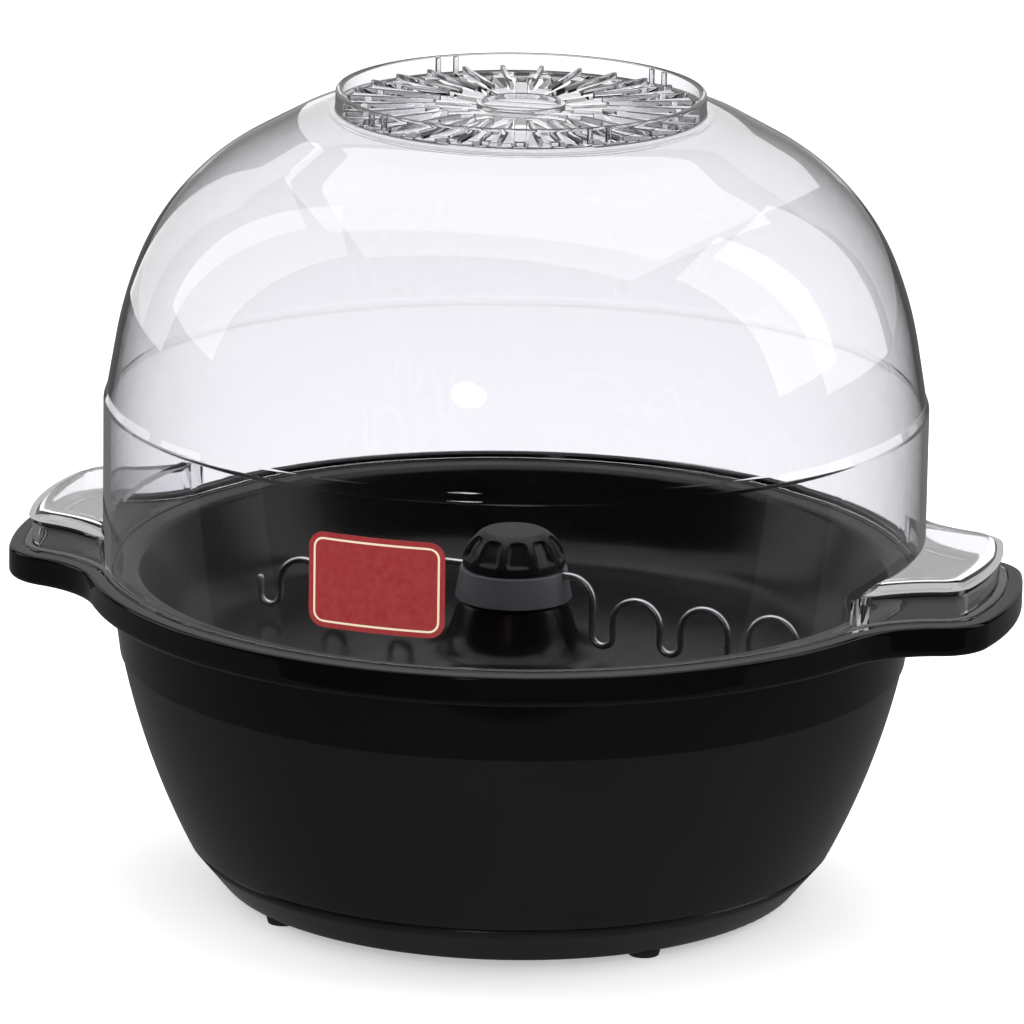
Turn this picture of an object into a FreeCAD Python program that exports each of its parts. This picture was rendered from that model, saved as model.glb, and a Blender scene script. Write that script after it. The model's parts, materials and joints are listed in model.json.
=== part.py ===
import FreeCAD, Part
import math
import os

os.makedirs("parts", exist_ok=True)

# Stirring popcorn maker. Millimetres, +Z up, handles along X, front at -Y.
# The origin is on the table, under the middle of the bowl.

# ---- driving dimensions: the base's outside ----
foot_height = 2.5            # a foot stands this far below the bottom tray
foot_radius = 5.5
foot_circle = 86.5           # radius of the circle the feet stand on
foot_angle = 47.5            # from the handles' axis
tray_height = 13.1
tray_bottom_radius = 92.6
tray_top_radius = 103.4
tray_corner = 3.0
seam_gap = 0.4               # shadow line between the tray and the bowl
bowl_height = 61.5
bowl_foot_radius = 103.6
bowl_mid_radius = 116.6
bowl_top_radius = 125.0
neck_height = 20.0
neck_step = 0.5              # the neck band stands this far out from the bowl
neck_top_radius = 129.3
rim_height = 9.7
rim_overhang = 7.7           # the rim stands this far out from the neck band
handle_reach = 162.8         # from the middle to a handle's tip
handle_half_width = 42.8
handle_corner = 18.3
handle_end_bulge = 3.0
handle_cove = 37.0           # inside corner between the round rim and a handle
wall = 2.5                   # moulded wall of the housing and the tray
deck = 2.4                   # moulded top of the rim
rim_edge_round = 1.0
handle_edge_round = 2.2

# ---- driving dimensions: the clear cover ----
flange_thickness = 2.0
flange_proud = 0.8           # the flange stands this far above the rim
flange_inset = 5.0           # from the rim's outline to the flange's outline
clear_wall = 2.0
skirt_height = 52.0          # flange to ledge, on the outside
skirt_inset = 1.0            # from the flange's round edge to the skirt
ledge_step = 1.1
ledge_height = 3.0
dome_shoulder = (125.0, 28.4, 120.0)   # radius, height above the ledge, bend radius
dome_crown = (110.5, 65.4, 75.0)
dome_brow = (68.0, 89.1, 40.0)         # where the dome flattens towards the ring
dome_mouth = (56.0, 91.4)              # radius, height above the ledge, before the well's hole is cut
ring_radius = 58.4
ring_wall = 2.1
ring_top = 151.7             # above the flange's top
ring_recess = 5.8            # depth of the well inside the ring
ring_lip = 1.8               # the ring's lip reaches this far under the dome
ring_lip_thickness = 1.2
ring_fit = 0.05              # radial gap between the ring and the dome's mouth
ear_height = 11.0            # top of a grip above the flange
ear_inset = 2.5              # from the flange's outline to the grip's wall
ear_round = 5.0
slot_count = 28              # slots in the well's floor, every second one long
long_slot_start = 16.0       # radius
short_slot_start = 31.0
slot_end = 48.0
slot_width = 3.6
edge_slot_width = 5.0
fin_start = 27.0
fin_height = 2.0
fin_thickness = 1.4
ring_post_angles = (-51.5, 51.5, 128.5, -128.5)
label_width = 44.0
label_height = 30.0
label_azimuth = -95.7
label_level = 24.0           # label's middle above the flange
label_thickness = 0.3

# ---- driving dimensions: the kettle and what hangs under it ----
kettle_thickness = 2.0
kettle_depth = 27.8          # lip's top to the floor
kettle_floor_radius = 106.0  # where the floor's and the wall's lines would meet
kettle_mouth_radius = 120.0
gasket_thickness = 1.0
cone_height = 16.8           # floor to the top of the cone
cone_top_radius = 17.0
cone_foot_radius = 22.5      # where the cone's and the floor's lines would meet
element_circle = 62.0
element_radius = 3.5
element_gap_angle = 30.0     # the ring's open part, at the back
element_tail = 16.0
stud_circle = 80.0
stud_radius = 2.0
stud_angles = (30.0, 150.0, 270.0)
shield_drop = 17.0           # kettle's underside to the heat shield
shield_thickness = 1.0
shield_radius = 92.0
shield_rim = 4.0             # width and
shield_rim_height = 10.0     # height of the shield's turned-up edge
bracket_thickness = 1.5
nut_height = 3.2
nut_flat = 7.0

# ---- driving dimensions: drive ----
shaft_radius = 3.0
shaft_tip_radius = 2.5
running = 0.05               # radial running clearance
loose = 0.4                  # gap between pieces that must not touch
bush_radius = 5.0
gear_module = 0.9
wheel_teeth = 40
pinion_teeth = 10
gear_face = 4.4
layer_gap = 1.0
idler_pin_radius = 1.5
case_wall = 2.0
rotor_shaft_radius = 1.2
rotor_radius = 9.0
motor_radius = 23.0
motor_height = 20.0

# ---- driving dimensions: stirrer ----
collar_bottom_radius = 18.7
collar_top_radius = 17.1
collar_height = 9.6
wire_radius = 1.1
wire_azimuth = -9.0
wire_eye = 5.4               # radius of the wire's eye round the shaft
wire_valley_bend = 3.5
wire_peak_bend = 8.0
wire_floor_gap = 3.9         # wire's lowest centreline above the floor
wire_peak_level = 20.0       # wire's peaks above the floor
wire_right_first = 30.8      # first valley of the long arm
wire_left_first = 39.0       # first valley of the short arm
knob_radius = 16.4
knob_top_radius = 9.6
knob_height = 11.4
knob_dimples = 10

# ---- driving dimensions: cord inlet ----
inlet_level = 28.0           # above the table
inlet_bore = 3.6             # radius of the hole for the cord
inlet_half = 6.0             # half the gland's square body
inlet_length = 14.0
inlet_head = 2.5             # the gland's head stands this far out all round
inlet_head_height = 2.0
inlet_pad = 4.0              # plastic round the gland

# ---- levels ----
tray_z = foot_height
seam_z = tray_z + tray_height + seam_gap
neck_z = seam_z + bowl_height
rim_z = neck_z + neck_height
rim_top = rim_z + rim_height
flange_top = rim_top + flange_proud
flange_bottom = flange_top - flange_thickness
lip_top = flange_bottom - 0.2
gasket_bottom = lip_top - kettle_thickness - gasket_thickness
floor_z = lip_top - kettle_depth
kettle_under = floor_z - kettle_thickness
cone_top = floor_z + cone_height
shield_top = kettle_under - shield_drop
bracket_top = shield_top - shield_thickness
case_top = bracket_top - bracket_thickness
layer_one = case_top - case_wall - layer_gap - gear_face
layer_two = layer_one - layer_gap - gear_face
case_floor = layer_two - 2 * layer_gap
lid_z = case_floor - case_wall
motor_z = lid_z - motor_height

# ---- radii that fit to each other ----
rim_radius = neck_top_radius + rim_overhang
flange_radius = rim_radius - flange_inset
skirt_radius = flange_radius - skirt_inset
skirt_bore = skirt_radius - clear_wall
seat_radius = skirt_bore - 1.2          # the kettle's lip drops inside this
lip_radius = seat_radius - loose
ledge_radius = kettle_mouth_radius + kettle_thickness
neck_bottom_radius = bowl_top_radius + neck_step

V = FreeCAD.Vector
UP = V(0, 0, 1)
ORIGIN = V(0, 0, 0)


# ---- shape helpers ----
def save(node, shape):
    """Write one node."""
    shape.exportStep("parts/" + node + ".step")


def disc(radius, height, z, x=0.0, y=0.0):
    """Upright round solid."""
    return Part.makeCylinder(radius, height, V(x, y, z), UP)


def tube(outer, inner, height, z, x=0.0, y=0.0):
    """Upright round tube."""
    return disc(outer, height, z, x, y).cut(disc(inner, height, z, x, y))


def block(x0, x1, y0, y1, z0, z1):
    """Box between two corners."""
    return Part.makeBox(x1 - x0, y1 - y0, z1 - z0, V(x0, y0, z0))


def polar(radius, degrees, z=0.0):
    """Point on a circle about the axis."""
    angle = math.radians(degrees)
    return V(radius * math.cos(angle), radius * math.sin(angle), z)


def turned(shape, degrees, centre=ORIGIN, axis=UP):
    """Copy of a shape turned about an axis."""
    copy = shape.copy()
    copy.rotate(centre, axis, degrees)
    return copy


def moved(shape, x, y, z):
    """Copy of a shape shifted."""
    copy = shape.copy()
    copy.translate(V(x, y, z))
    return copy


def fused(shapes):
    """One shape from several."""
    return shapes[0].multiFuse(shapes[1:]).removeSplitter()


def corner(before, at, after, bend):
    """End points and middle of the arc that rounds one corner of a path."""
    to_before = (before - at).normalize()
    to_after = (after - at).normalize()
    half = to_before.getAngle(to_after) / 2
    middle = (to_before + to_after).normalize()
    start = at + to_before * (bend / math.tan(half))
    end = at + to_after * (bend / math.tan(half))
    top = at + middle * (bend / math.sin(half) - bend)
    return start, top, end


def rounded_path(points, bends):
    """Edges of a path of straight runs whose inner corners are arcs."""
    edges = []
    here = points[0]
    for index, bend in enumerate(bends):
        start, top, end = corner(points[index], points[index + 1], points[index + 2], bend)
        if (start - here).Length > 1e-6:
            edges.append(Part.LineSegment(here, start).toShape())
        edges.append(Part.Arc(start, top, end).toShape())
        here = end
    edges.append(Part.LineSegment(here, points[-1]).toShape())
    return edges


def offset_points(points, distance):
    """Corners of a path in the XZ plane, shifted sideways (positive is to the right)."""
    normals = []
    for first, second in zip(points, points[1:]):
        run = (second - first).normalize()
        normals.append(V(run.z, 0, -run.x))
    shifted = [points[0] + normals[0] * distance]
    for point, before, after in zip(points[1:], normals, normals[1:]):
        middle = before + after
        shifted.append(point + middle * (2 * distance / middle.dot(middle)))
    shifted.append(points[-1] + normals[-1] * distance)
    return shifted


def sheet_of_revolution(corners, bends, thickness):
    """Wall of even thickness, turned about Z. Bends turn left when positive."""
    path = [V(r, 0, z) for r, z in corners]
    inner = offset_points(path, thickness)
    near = rounded_path(path, [abs(bend) for bend in bends])
    far = rounded_path(inner, [abs(bend + thickness) for bend in bends])
    ends = [Part.LineSegment(path[0], inner[0]).toShape(),
            Part.LineSegment(path[-1], inner[-1]).toShape()]
    wire = Part.Wire(Part.__sortEdges__(near + far + ends))
    return Part.Face(wire).revolve(ORIGIN, UP, 360)


def pipe(edges, radius):
    """Round bar along a path."""
    path = Part.Wire(edges)
    start = path.Edges[0].valueAt(path.Edges[0].FirstParameter)
    along = path.Edges[0].tangentAt(path.Edges[0].FirstParameter)
    ring = Part.Wire(Part.makeCircle(radius, start, along))
    return path.makePipeShell([ring], True, False)


def rod(start, end, radius):
    """Straight round bar between two points."""
    run = end - start
    return Part.makeCylinder(radius, run.Length, start, run)


def hexagon(flats, height, z, x=0.0, y=0.0):
    """Upright hexagonal solid."""
    radius = flats / 2 / math.cos(math.pi / 6)
    points = [V(x, y, z) + polar(radius, 60 * side) for side in range(7)]
    return Part.Face(Part.makePolygon(points)).extrude(V(0, 0, height))


def arc_about(centre, radius, start, end):
    """Arc by centre and two angles in degrees."""
    middle = (start + end) / 2
    points = [centre + polar(radius, angle) for angle in (start, middle, end)]
    return Part.Arc(points[0], points[1], points[2]).toShape()


def plan_outline(inset):
    """Outline of the rim with its two handles, moved in by an inset."""
    tip_to_corner = handle_reach - handle_corner
    knuckle = V(tip_to_corner - handle_end_bulge, handle_half_width - handle_corner, 0)
    end_x = (tip_to_corner ** 2 - knuckle.dot(knuckle)) / (2 * handle_end_bulge)
    ring_to_cove = rim_radius + handle_cove
    corner_to_cove = handle_corner + handle_cove
    spread = knuckle.Length
    cosine = (spread ** 2 + ring_to_cove ** 2 - corner_to_cove ** 2) / (2 * spread * ring_to_cove)
    knuckle_angle = math.degrees(math.atan2(knuckle.y, knuckle.x))
    cove_angle = knuckle_angle + math.degrees(math.acos(cosine))
    cove = polar(ring_to_cove, cove_angle)
    from_cove = math.degrees(math.atan2(knuckle.y - cove.y, knuckle.x - cove.x)) + 360
    to_cove = from_cove - 180
    end_angle = math.degrees(math.atan2(knuckle.y, knuckle.x - end_x))
    quarter = [arc_about(ORIGIN, rim_radius - inset, 90, cove_angle),
               arc_about(cove, handle_cove + inset, cove_angle + 180, from_cove),
               arc_about(knuckle, handle_corner - inset, to_cove, end_angle),
               arc_about(V(end_x, 0, 0), handle_reach - end_x - inset, end_angle, 0)]
    half = quarter + [edge.mirror(ORIGIN, V(0, 1, 0)) for edge in quarter]
    whole = half + [edge.mirror(ORIGIN, V(1, 0, 0)) for edge in half]
    return Part.Wire(Part.__sortEdges__(whole))


def plan_block(inset, bottom, top):
    """Solid with the handle outline between two levels."""
    face = Part.Face(plan_outline(inset))
    face.translate(V(0, 0, bottom))
    return face.extrude(V(0, 0, top - bottom))


def level_edges(shape, z):
    """Edges that lie wholly at one level."""
    return [edge for edge in shape.Edges
            if abs(edge.BoundBox.ZMin - z) < 1e-4 and abs(edge.BoundBox.ZMax - z) < 1e-4]


def gear(teeth, face, z, bore, phase):
    """Spur gear with its first tooth at an angle of phase degrees."""
    pitch = gear_module * teeth / 2
    pressure = math.radians(25)
    base = pitch * math.cos(pressure)
    tip = pitch + 0.8 * gear_module
    root = pitch - 1.1 * gear_module
    backlash = 0.12

    def involute(radius):
        return math.sqrt(max((radius / base) ** 2 - 1, 0)) - math.acos(min(base / radius, 1))

    half_tooth = math.pi / (2 * teeth) - backlash / (2 * pitch) + involute(pitch)
    start = max(base, root)
    flank = [start + (tip - start) * step / 4 for step in range(5)]
    points = []
    for tooth in range(teeth):
        middle = math.radians(phase) + 2 * math.pi * tooth / teeth
        side = [(root, half_tooth)] + [(r, half_tooth - involute(r)) for r in flank]
        for r, angle in side:
            points.append(V(r * math.cos(middle - angle), r * math.sin(middle - angle), z))
        for r, angle in reversed(side):
            points.append(V(r * math.cos(middle + angle), r * math.sin(middle + angle), z))
    solid = Part.Face(Part.makePolygon(points + points[:1])).extrude(V(0, 0, face))
    return solid.cut(disc(bore, face, z))


# ---- base housing: rim with two hollow handles, neck band and bowl in one moulding ----
def bowl_wall():
    """Neck and bowl wall with the inside ledge that carries the kettle."""
    outside = [Part.LineSegment(V(neck_top_radius, 0, flange_bottom - deck / 2),
                                V(neck_bottom_radius, 0, neck_z)).toShape(),
               Part.LineSegment(V(neck_bottom_radius, 0, neck_z),
                                V(bowl_top_radius, 0, neck_z)).toShape(),
               Part.Arc(V(bowl_top_radius, 0, neck_z),
                        V(bowl_mid_radius, 0, (seam_z + neck_z) / 2),
                        V(bowl_foot_radius, 0, seam_z)).toShape()]
    foot_inside = bowl_foot_radius - wall
    ledge_under = gasket_bottom - wall
    inside = [Part.Arc(V(foot_inside, 0, seam_z),
                       V(bowl_mid_radius - wall, 0, (seam_z + neck_z) / 2),
                       V(bowl_top_radius - wall, 0, neck_z)).toShape(),
              Part.LineSegment(V(bowl_top_radius - wall, 0, neck_z),
                               V(neck_top_radius - wall, 0, ledge_under)).toShape(),
              Part.LineSegment(V(neck_top_radius - wall, 0, ledge_under),
                               V(ledge_radius, 0, ledge_under)).toShape(),
              Part.LineSegment(V(ledge_radius, 0, ledge_under),
                               V(ledge_radius, 0, gasket_bottom)).toShape(),
              Part.LineSegment(V(ledge_radius, 0, gasket_bottom),
                               V(seat_radius, 0, gasket_bottom)).toShape(),
              Part.LineSegment(V(seat_radius, 0, gasket_bottom),
                               V(seat_radius, 0, flange_bottom - deck / 2)).toShape(),
              Part.LineSegment(V(seat_radius, 0, flange_bottom - deck / 2),
                               V(neck_top_radius, 0, flange_bottom - deck / 2)).toShape()]
    bottom = Part.LineSegment(V(bowl_foot_radius, 0, seam_z), V(foot_inside, 0, seam_z)).toShape()
    wire = Part.Wire(Part.__sortEdges__(outside + [bottom] + inside))
    return Part.Face(wire).revolve(ORIGIN, UP, 360)


def bowl_inside():
    """Everything inside the middle of the bowl's wall, to trim bosses and ribs to it."""
    edges = [Part.LineSegment(V(0, 0, seam_z), V(bowl_foot_radius - wall / 2, 0, seam_z)).toShape(),
             Part.Arc(V(bowl_foot_radius - wall / 2, 0, seam_z),
                      V(bowl_mid_radius - wall / 2, 0, (seam_z + neck_z) / 2),
                      V(bowl_top_radius - wall / 2, 0, neck_z)).toShape(),
             Part.LineSegment(V(bowl_top_radius - wall / 2, 0, neck_z), V(0, 0, neck_z)).toShape(),
             Part.LineSegment(V(0, 0, neck_z), V(0, 0, seam_z)).toShape()]
    return Part.Face(Part.Wire(edges)).revolve(ORIGIN, UP, 360)


screw_angles = [22.5 + 90 * quarter for quarter in range(4)]
screw_circle = tray_bottom_radius - 6.0
post_radius = 5.0
screw_radius = 1.75
screw_head_radius = 3.6
screw_head_height = 2.0
screw_length = 24.0
tray_top = seam_z - seam_gap
boss_height = 24.0
tongue_rise = 3.4
rib_thickness = 2.0
rib_places = (-26.0, 0.0, 26.0)


def around(shape, angles):
    """Compound of copies of a shape, turned about Z."""
    return Part.makeCompound([turned(shape, angle) for angle in angles])


rim = plan_block(0, rim_z, rim_top)
rim = rim.makeFillet(handle_edge_round, level_edges(rim, rim_z))
rim = rim.makeFillet(rim_edge_round, level_edges(rim, rim_top))
rim = rim.cut(plan_block(flange_inset - 0.5, flange_bottom, rim_top + 1))
rim = rim.cut(plan_block(wall, rim_z - 1, flange_bottom - deck))
rim = rim.cut(disc(seat_radius, rim_height + 2, rim_z - 1))
rib_limit = plan_block(wall / 2, rim_z, rim_top).cut(disc(neck_top_radius - 1, rim_height + 1, rim_z))
ribs = []
for side in (-1, 1):
    for y in rib_places:
        ends = sorted((side * (rim_radius - 20.0), side * handle_reach))
        rib = block(ends[0], ends[1], y - rib_thickness / 2, y + rib_thickness / 2,
                    rim_z + 2.5, flange_bottom - deck / 2)
        ribs.append(rib.common(rib_limit))

boss = disc(post_radius - 0.5, boss_height, seam_z + loose, screw_circle, 0)
web = block(screw_circle, bowl_mid_radius, -1.2, 1.2, seam_z + tongue_rise + loose, seam_z + boss_height)
boss = boss.fuse(web).common(bowl_inside())

inlet_outer = bowl_foot_radius + 8.5
inlet_inner = inlet_outer - inlet_length
inlet_face = inlet_outer - inlet_head_height
BACK = V(0, 1, 0)


def inlet_bar(half, start, end):
    """Square solid along the inlet's axis."""
    return block(-half, half, start, end, inlet_level - half, inlet_level + half)


housing = fused([bowl_wall(), rim, inlet_bar(inlet_half + inlet_pad, inlet_inner, inlet_face)]
                + ribs + [turned(boss, angle) for angle in screw_angles])
housing = housing.cut(inlet_bar(inlet_half, inlet_inner - 5, inlet_face + 1))
housing = housing.cut(inlet_bar(inlet_half + inlet_head + loose, inlet_face, inlet_face + 20))
housing = housing.cut(around(disc(screw_radius, screw_length, seam_z - 2, screw_circle, 0), screw_angles))
save("base_housing", housing)

# ---- cord inlet gland: rubber bush with a head, round the hole for the cord ----
gland = inlet_bar(inlet_half, inlet_inner, inlet_face)
gland = gland.fuse(inlet_bar(inlet_half + inlet_head, inlet_face, inlet_outer)).removeSplitter()
gland_bore = Part.makeCylinder(inlet_bore, inlet_length, V(0, inlet_inner, inlet_level), BACK)
save("cord_gland", gland.cut(gland_bore))

# ---- bottom tray, feet and screws ----
foot_angles = [foot_angle, 180 - foot_angle, 180 + foot_angle, 360 - foot_angle]
stem_radius = 2.5
vent_radius = 2.0
vent_rings = ((18.0, 8), (32.0, 12), (46.0, 16))
tray_floor = tray_z + wall
terminal_y = 70.0
terminal_plinth = 3.0
tray = sheet_of_revolution([(0.0, tray_z), (tray_bottom_radius, tray_z), (tray_top_radius, tray_top)],
                           [tray_corner], -wall)
tray = tray.cut(disc(rim_radius, tray_height, tray_top))
tongue_radius = bowl_foot_radius - wall - 0.6
tongue = tube(tongue_radius, tongue_radius - 1.8, tongue_rise + 2.6, tray_top - 2.6)
tongue = tongue.cut(inlet_bar(inlet_half + inlet_pad + loose, inlet_inner - 5, inlet_outer))
post = disc(post_radius, tray_top - tray_floor, tray_floor, screw_circle, 0)
plinth = block(-17, 17, terminal_y - 10, terminal_y + 10, tray_floor, tray_floor + terminal_plinth)
tray = fused([tray, tongue, plinth] + [turned(post, angle) for angle in screw_angles])
head_seat = tray_z + screw_head_height
tray = tray.cut(around(disc(screw_radius + 0.3, tray_height + 1, tray_z, screw_circle, 0), screw_angles))
tray = tray.cut(around(disc(screw_head_radius + loose, screw_head_height, tray_z, screw_circle, 0),
                       screw_angles))
tray = tray.cut(around(disc(stem_radius, wall, tray_z, foot_circle, 0), foot_angles))
for radius, count in vent_rings:
    vent = disc(vent_radius, wall, tray_z, radius, 0)
    tray = tray.cut(around(vent, [360.0 * step / count for step in range(count)]))
save("bottom_tray", tray)

foot = fused([Part.makeCone(foot_radius - 0.7, foot_radius, foot_height, V(foot_circle, 0, 0), UP),
              disc(stem_radius, wall + 0.5, foot_height, foot_circle, 0),
              Part.makeCone(stem_radius + 0.6, stem_radius - 0.5, 1.5, V(foot_circle, 0, tray_floor), UP)])
save("rubber_feet", around(foot, foot_angles))

screw = disc(screw_head_radius, screw_head_height - 0.3, tray_z + 0.3, screw_circle, 0)
screw = screw.fuse(disc(screw_radius, screw_length - 3, head_seat, screw_circle, 0)).removeSplitter()
slot = block(screw_circle - 2.4, screw_circle + 2.4, -0.4, 0.4, tray_z, tray_z + 1.3)
screw = screw.cut(slot).cut(turned(slot, 90, V(screw_circle, 0, 0)))
save("tray_screws", around(screw, screw_angles))

# ---- kettle: pan with a raised cone in the middle, on a silicone gasket ----
kettle_path = [(bush_radius, cone_top), (cone_top_radius, cone_top), (cone_foot_radius, floor_z),
               (kettle_floor_radius, floor_z), (kettle_mouth_radius, lip_top), (lip_radius, lip_top)]
save("kettle", sheet_of_revolution(kettle_path, [-2.5, 10.0, 20.0, -3.2], kettle_thickness))
save("kettle_gasket", tube(seat_radius - 0.2, ledge_radius + 0.6, gasket_thickness, gasket_bottom))

# ---- heating element under the kettle, with its clamps ----
element_z = kettle_under - element_radius
tail_bend = 8.0
ring_start = 90 + element_gap_angle / 2
ring_end = 450 - element_gap_angle / 2
clamp_angles = (0, 180, 270)
clamp_thickness = 1.2
clamp_half = element_radius + 5.5
clamp_z = element_z - element_radius - clamp_thickness
clamp_bolt_radius = 1.6


def element_tail_edges(angle, turn):
    """Bend and straight that take one end of the element down."""
    end = polar(element_circle, angle, element_z)
    along = polar(1, angle + turn)
    centre = end - UP * tail_bend
    middle = centre + (along + UP).normalize() * tail_bend
    low = centre + along * tail_bend
    return [Part.Arc(end, middle, low).toShape(), Part.LineSegment(low, low - UP * element_tail).toShape()]


tail_one = element_tail_edges(ring_start, -90)
tail_two = element_tail_edges(ring_end, 90)
ends = [tail[1].Vertexes[1].Point for tail in (tail_one, tail_two)]
ring = arc_about(V(0, 0, element_z), element_circle, ring_start, ring_end)
save("heating_element", pipe(Part.__sortEdges__(tail_one + [ring] + tail_two), element_radius))
tabs = [block(end.x - 3.0, end.x + 3.0, end.y - 0.4, end.y + 0.4, end.z - 8.0, end.z) for end in ends]
save("element_tabs", Part.makeCompound(tabs))

bolt_circles = (element_circle - clamp_half + 3.0, element_circle + clamp_half - 3.0)
clamp = block(element_circle - clamp_half - 1, element_circle + clamp_half + 1, -5, 5,
              clamp_z, clamp_z + clamp_thickness)
for radius in bolt_circles:
    clamp = clamp.cut(disc(clamp_bolt_radius, clamp_thickness, clamp_z, radius, 0))
save("element_clamps", around(clamp, clamp_angles))
clamp_bolts = []
for radius in bolt_circles:
    bolt = disc(clamp_bolt_radius, kettle_under - clamp_z, clamp_z, radius, 0)
    bolt = bolt.fuse(disc(2.8, 2.0, clamp_z - 2.0, radius, 0)).removeSplitter()
    clamp_bolts += [turned(bolt, angle) for angle in clamp_angles]
save("clamp_bolts", Part.makeCompound(clamp_bolts))

# ---- studs, spacers and nuts that hang the heat shield and the motor from the kettle ----
nut_z = case_top - nut_height
stud_hole = disc(stud_radius, kettle_under, 0, stud_circle, 0)
stud = disc(stud_radius, kettle_under - nut_z + 1.0, nut_z - 1.0, stud_circle, 0)
save("kettle_studs", around(stud, stud_angles))
spacer = tube(stud_radius + 2.0, stud_radius, shield_drop, shield_top, stud_circle, 0)
save("stud_spacers", around(spacer, stud_angles))
nut = hexagon(nut_flat, nut_height, nut_z, stud_circle, 0).cut(stud_hole)
save("stud_nuts", around(nut, stud_angles))

# ---- sensors on the kettle's underside ----
sensor_circle = 44.0
sensor_radius = 8.0
thermostat_angle = 215.0
fuse_angle = 325.0
fuse_radius = 2.0
fuse_length = 12.0
sensor = disc(sensor_radius, 5.5, kettle_under - 5.5, sensor_circle, 0)
sensor = sensor.fuse(disc(sensor_radius - 1.5, 3.0, kettle_under - 8.5, sensor_circle, 0)).removeSplitter()
save("thermostat", turned(sensor, thermostat_angle))
hoop = tube(sensor_radius + 1.2, sensor_radius, 4.0, kettle_under - 4.0, sensor_circle, 0)
hoop_foot = block(sensor_circle - sensor_radius - 6, sensor_circle - sensor_radius - 0.6, -4, 4,
                  kettle_under - 1.2, kettle_under)
save("thermostat_clip", turned(hoop.fuse(hoop_foot).removeSplitter(), thermostat_angle))
fuse = Part.makeCylinder(fuse_radius, fuse_length,
                         V(sensor_circle, -fuse_length / 2, kettle_under - fuse_radius - 1.2), BACK)
save("thermal_fuse", turned(fuse, fuse_angle))
fuse_clip = block(sensor_circle - 3.2, sensor_circle + 3.2, -2.5, 2.5,
                  kettle_under - 2 * fuse_radius - 2.4, kettle_under).cut(fuse)
save("fuse_clip", turned(fuse_clip, fuse_angle))

# ---- heat shield and the three-armed motor bracket ----
boss_radius = shaft_radius + 3.0
shield = sheet_of_revolution([(boss_radius + loose, shield_top), (shield_radius - shield_rim, shield_top),
                              (shield_radius, shield_top + shield_rim_height)], [3.0], shield_thickness)
shield = shield.cut(around(stud_hole, stud_angles))
for end in ends:
    shield = shield.cut(disc(element_radius + 2.0, 20, shield_top - 10, end.x, end.y))
save("heat_shield", shield)

arm = block(0, stud_circle, -7, 7, case_top, bracket_top)
arm = arm.fuse(disc(7.0, bracket_thickness, case_top, stud_circle, 0))
bracket_arms = [turned(arm, angle) for angle in stud_angles]

# ---- gearbox: case, lid, idler pin; the wheel on the shaft is driven through one idler ----
wheel_pitch = gear_module * wheel_teeth / 2
pinion_pitch = gear_module * pinion_teeth / 2
centre_distance = wheel_pitch + pinion_pitch
wheel_outer = wheel_pitch + gear_module
idler_x = -centre_distance
case_x = idler_x / 2
case_inner = centre_distance / 2 + wheel_outer + 1.2
case_outer = case_inner + case_wall
case_screw_angles = (60, 180, 300)
case_screw_radius = 1.5
case = disc(case_outer, case_top - case_floor, case_floor, case_x)
case = case.cut(disc(case_inner, layer_one + gear_face + layer_gap - case_floor, case_floor, case_x))
screw_x = case_x + case_outer + 1.5
lug = disc(4.0, case_top - case_floor, case_floor, screw_x)
lugs = [turned(lug, angle, V(case_x, 0, 0)) for angle in case_screw_angles]
inner_room = disc(case_inner, case_top - case_floor - case_wall, case_floor, case_x)
case = fused([case, disc(boss_radius, 7.0, case_top)] + [lug.cut(inner_room) for lug in lugs])
case = case.cut(disc(shaft_radius + running, 20, case_top - 10))
case_screw = disc(case_screw_radius, 20, case_floor, screw_x)
case_screws = [turned(case_screw, angle, V(case_x, 0, 0)) for angle in case_screw_angles]
case = case.cut(Part.makeCompound(case_screws))
pin_low = case_floor - case_wall / 2
pin_high = case_top - case_wall / 2
idler_pin = disc(idler_pin_radius, pin_high - pin_low, pin_low, idler_x)
save("gearbox_case", case.cut(idler_pin))
save("idler_pin", idler_pin)

lid = disc(case_outer, case_wall, lid_z, case_x)
lid_lug = disc(4.0, case_wall, lid_z, screw_x)
lid = fused([lid] + [turned(lid_lug, angle, V(case_x, 0, 0)) for angle in case_screw_angles])
lid_hole = disc(case_screw_radius, case_wall, lid_z, screw_x)
lid_holes = [turned(lid_hole, angle, V(case_x, 0, 0)) for angle in case_screw_angles]
lid = lid.cut(Part.makeCompound(lid_holes)).cut(idler_pin)
save("gearbox_lid", lid.cut(disc(rotor_shaft_radius + running, case_wall, lid_z)))

bracket = fused([disc(case_outer + 6.5, bracket_thickness, case_top, case_x)] + bracket_arms)
bracket = bracket.cut(disc(boss_radius + loose, 9, case_top - 1)).cut(around(stud_hole, stud_angles))
long_screws = []
for angle in case_screw_angles:
    place = V(case_x, 0, 0) + polar(case_outer + 1.5, angle)
    shank = disc(case_screw_radius, bracket_top - lid_z, lid_z, place.x, place.y)
    head = disc(2.8, 1.8, lid_z - 1.8, place.x, place.y)
    long_screws.append(head.fuse(shank).removeSplitter())
    bracket = bracket.cut(shank)
save("gearbox_screws", Part.makeCompound(long_screws))
save("motor_bracket", bracket)

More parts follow.
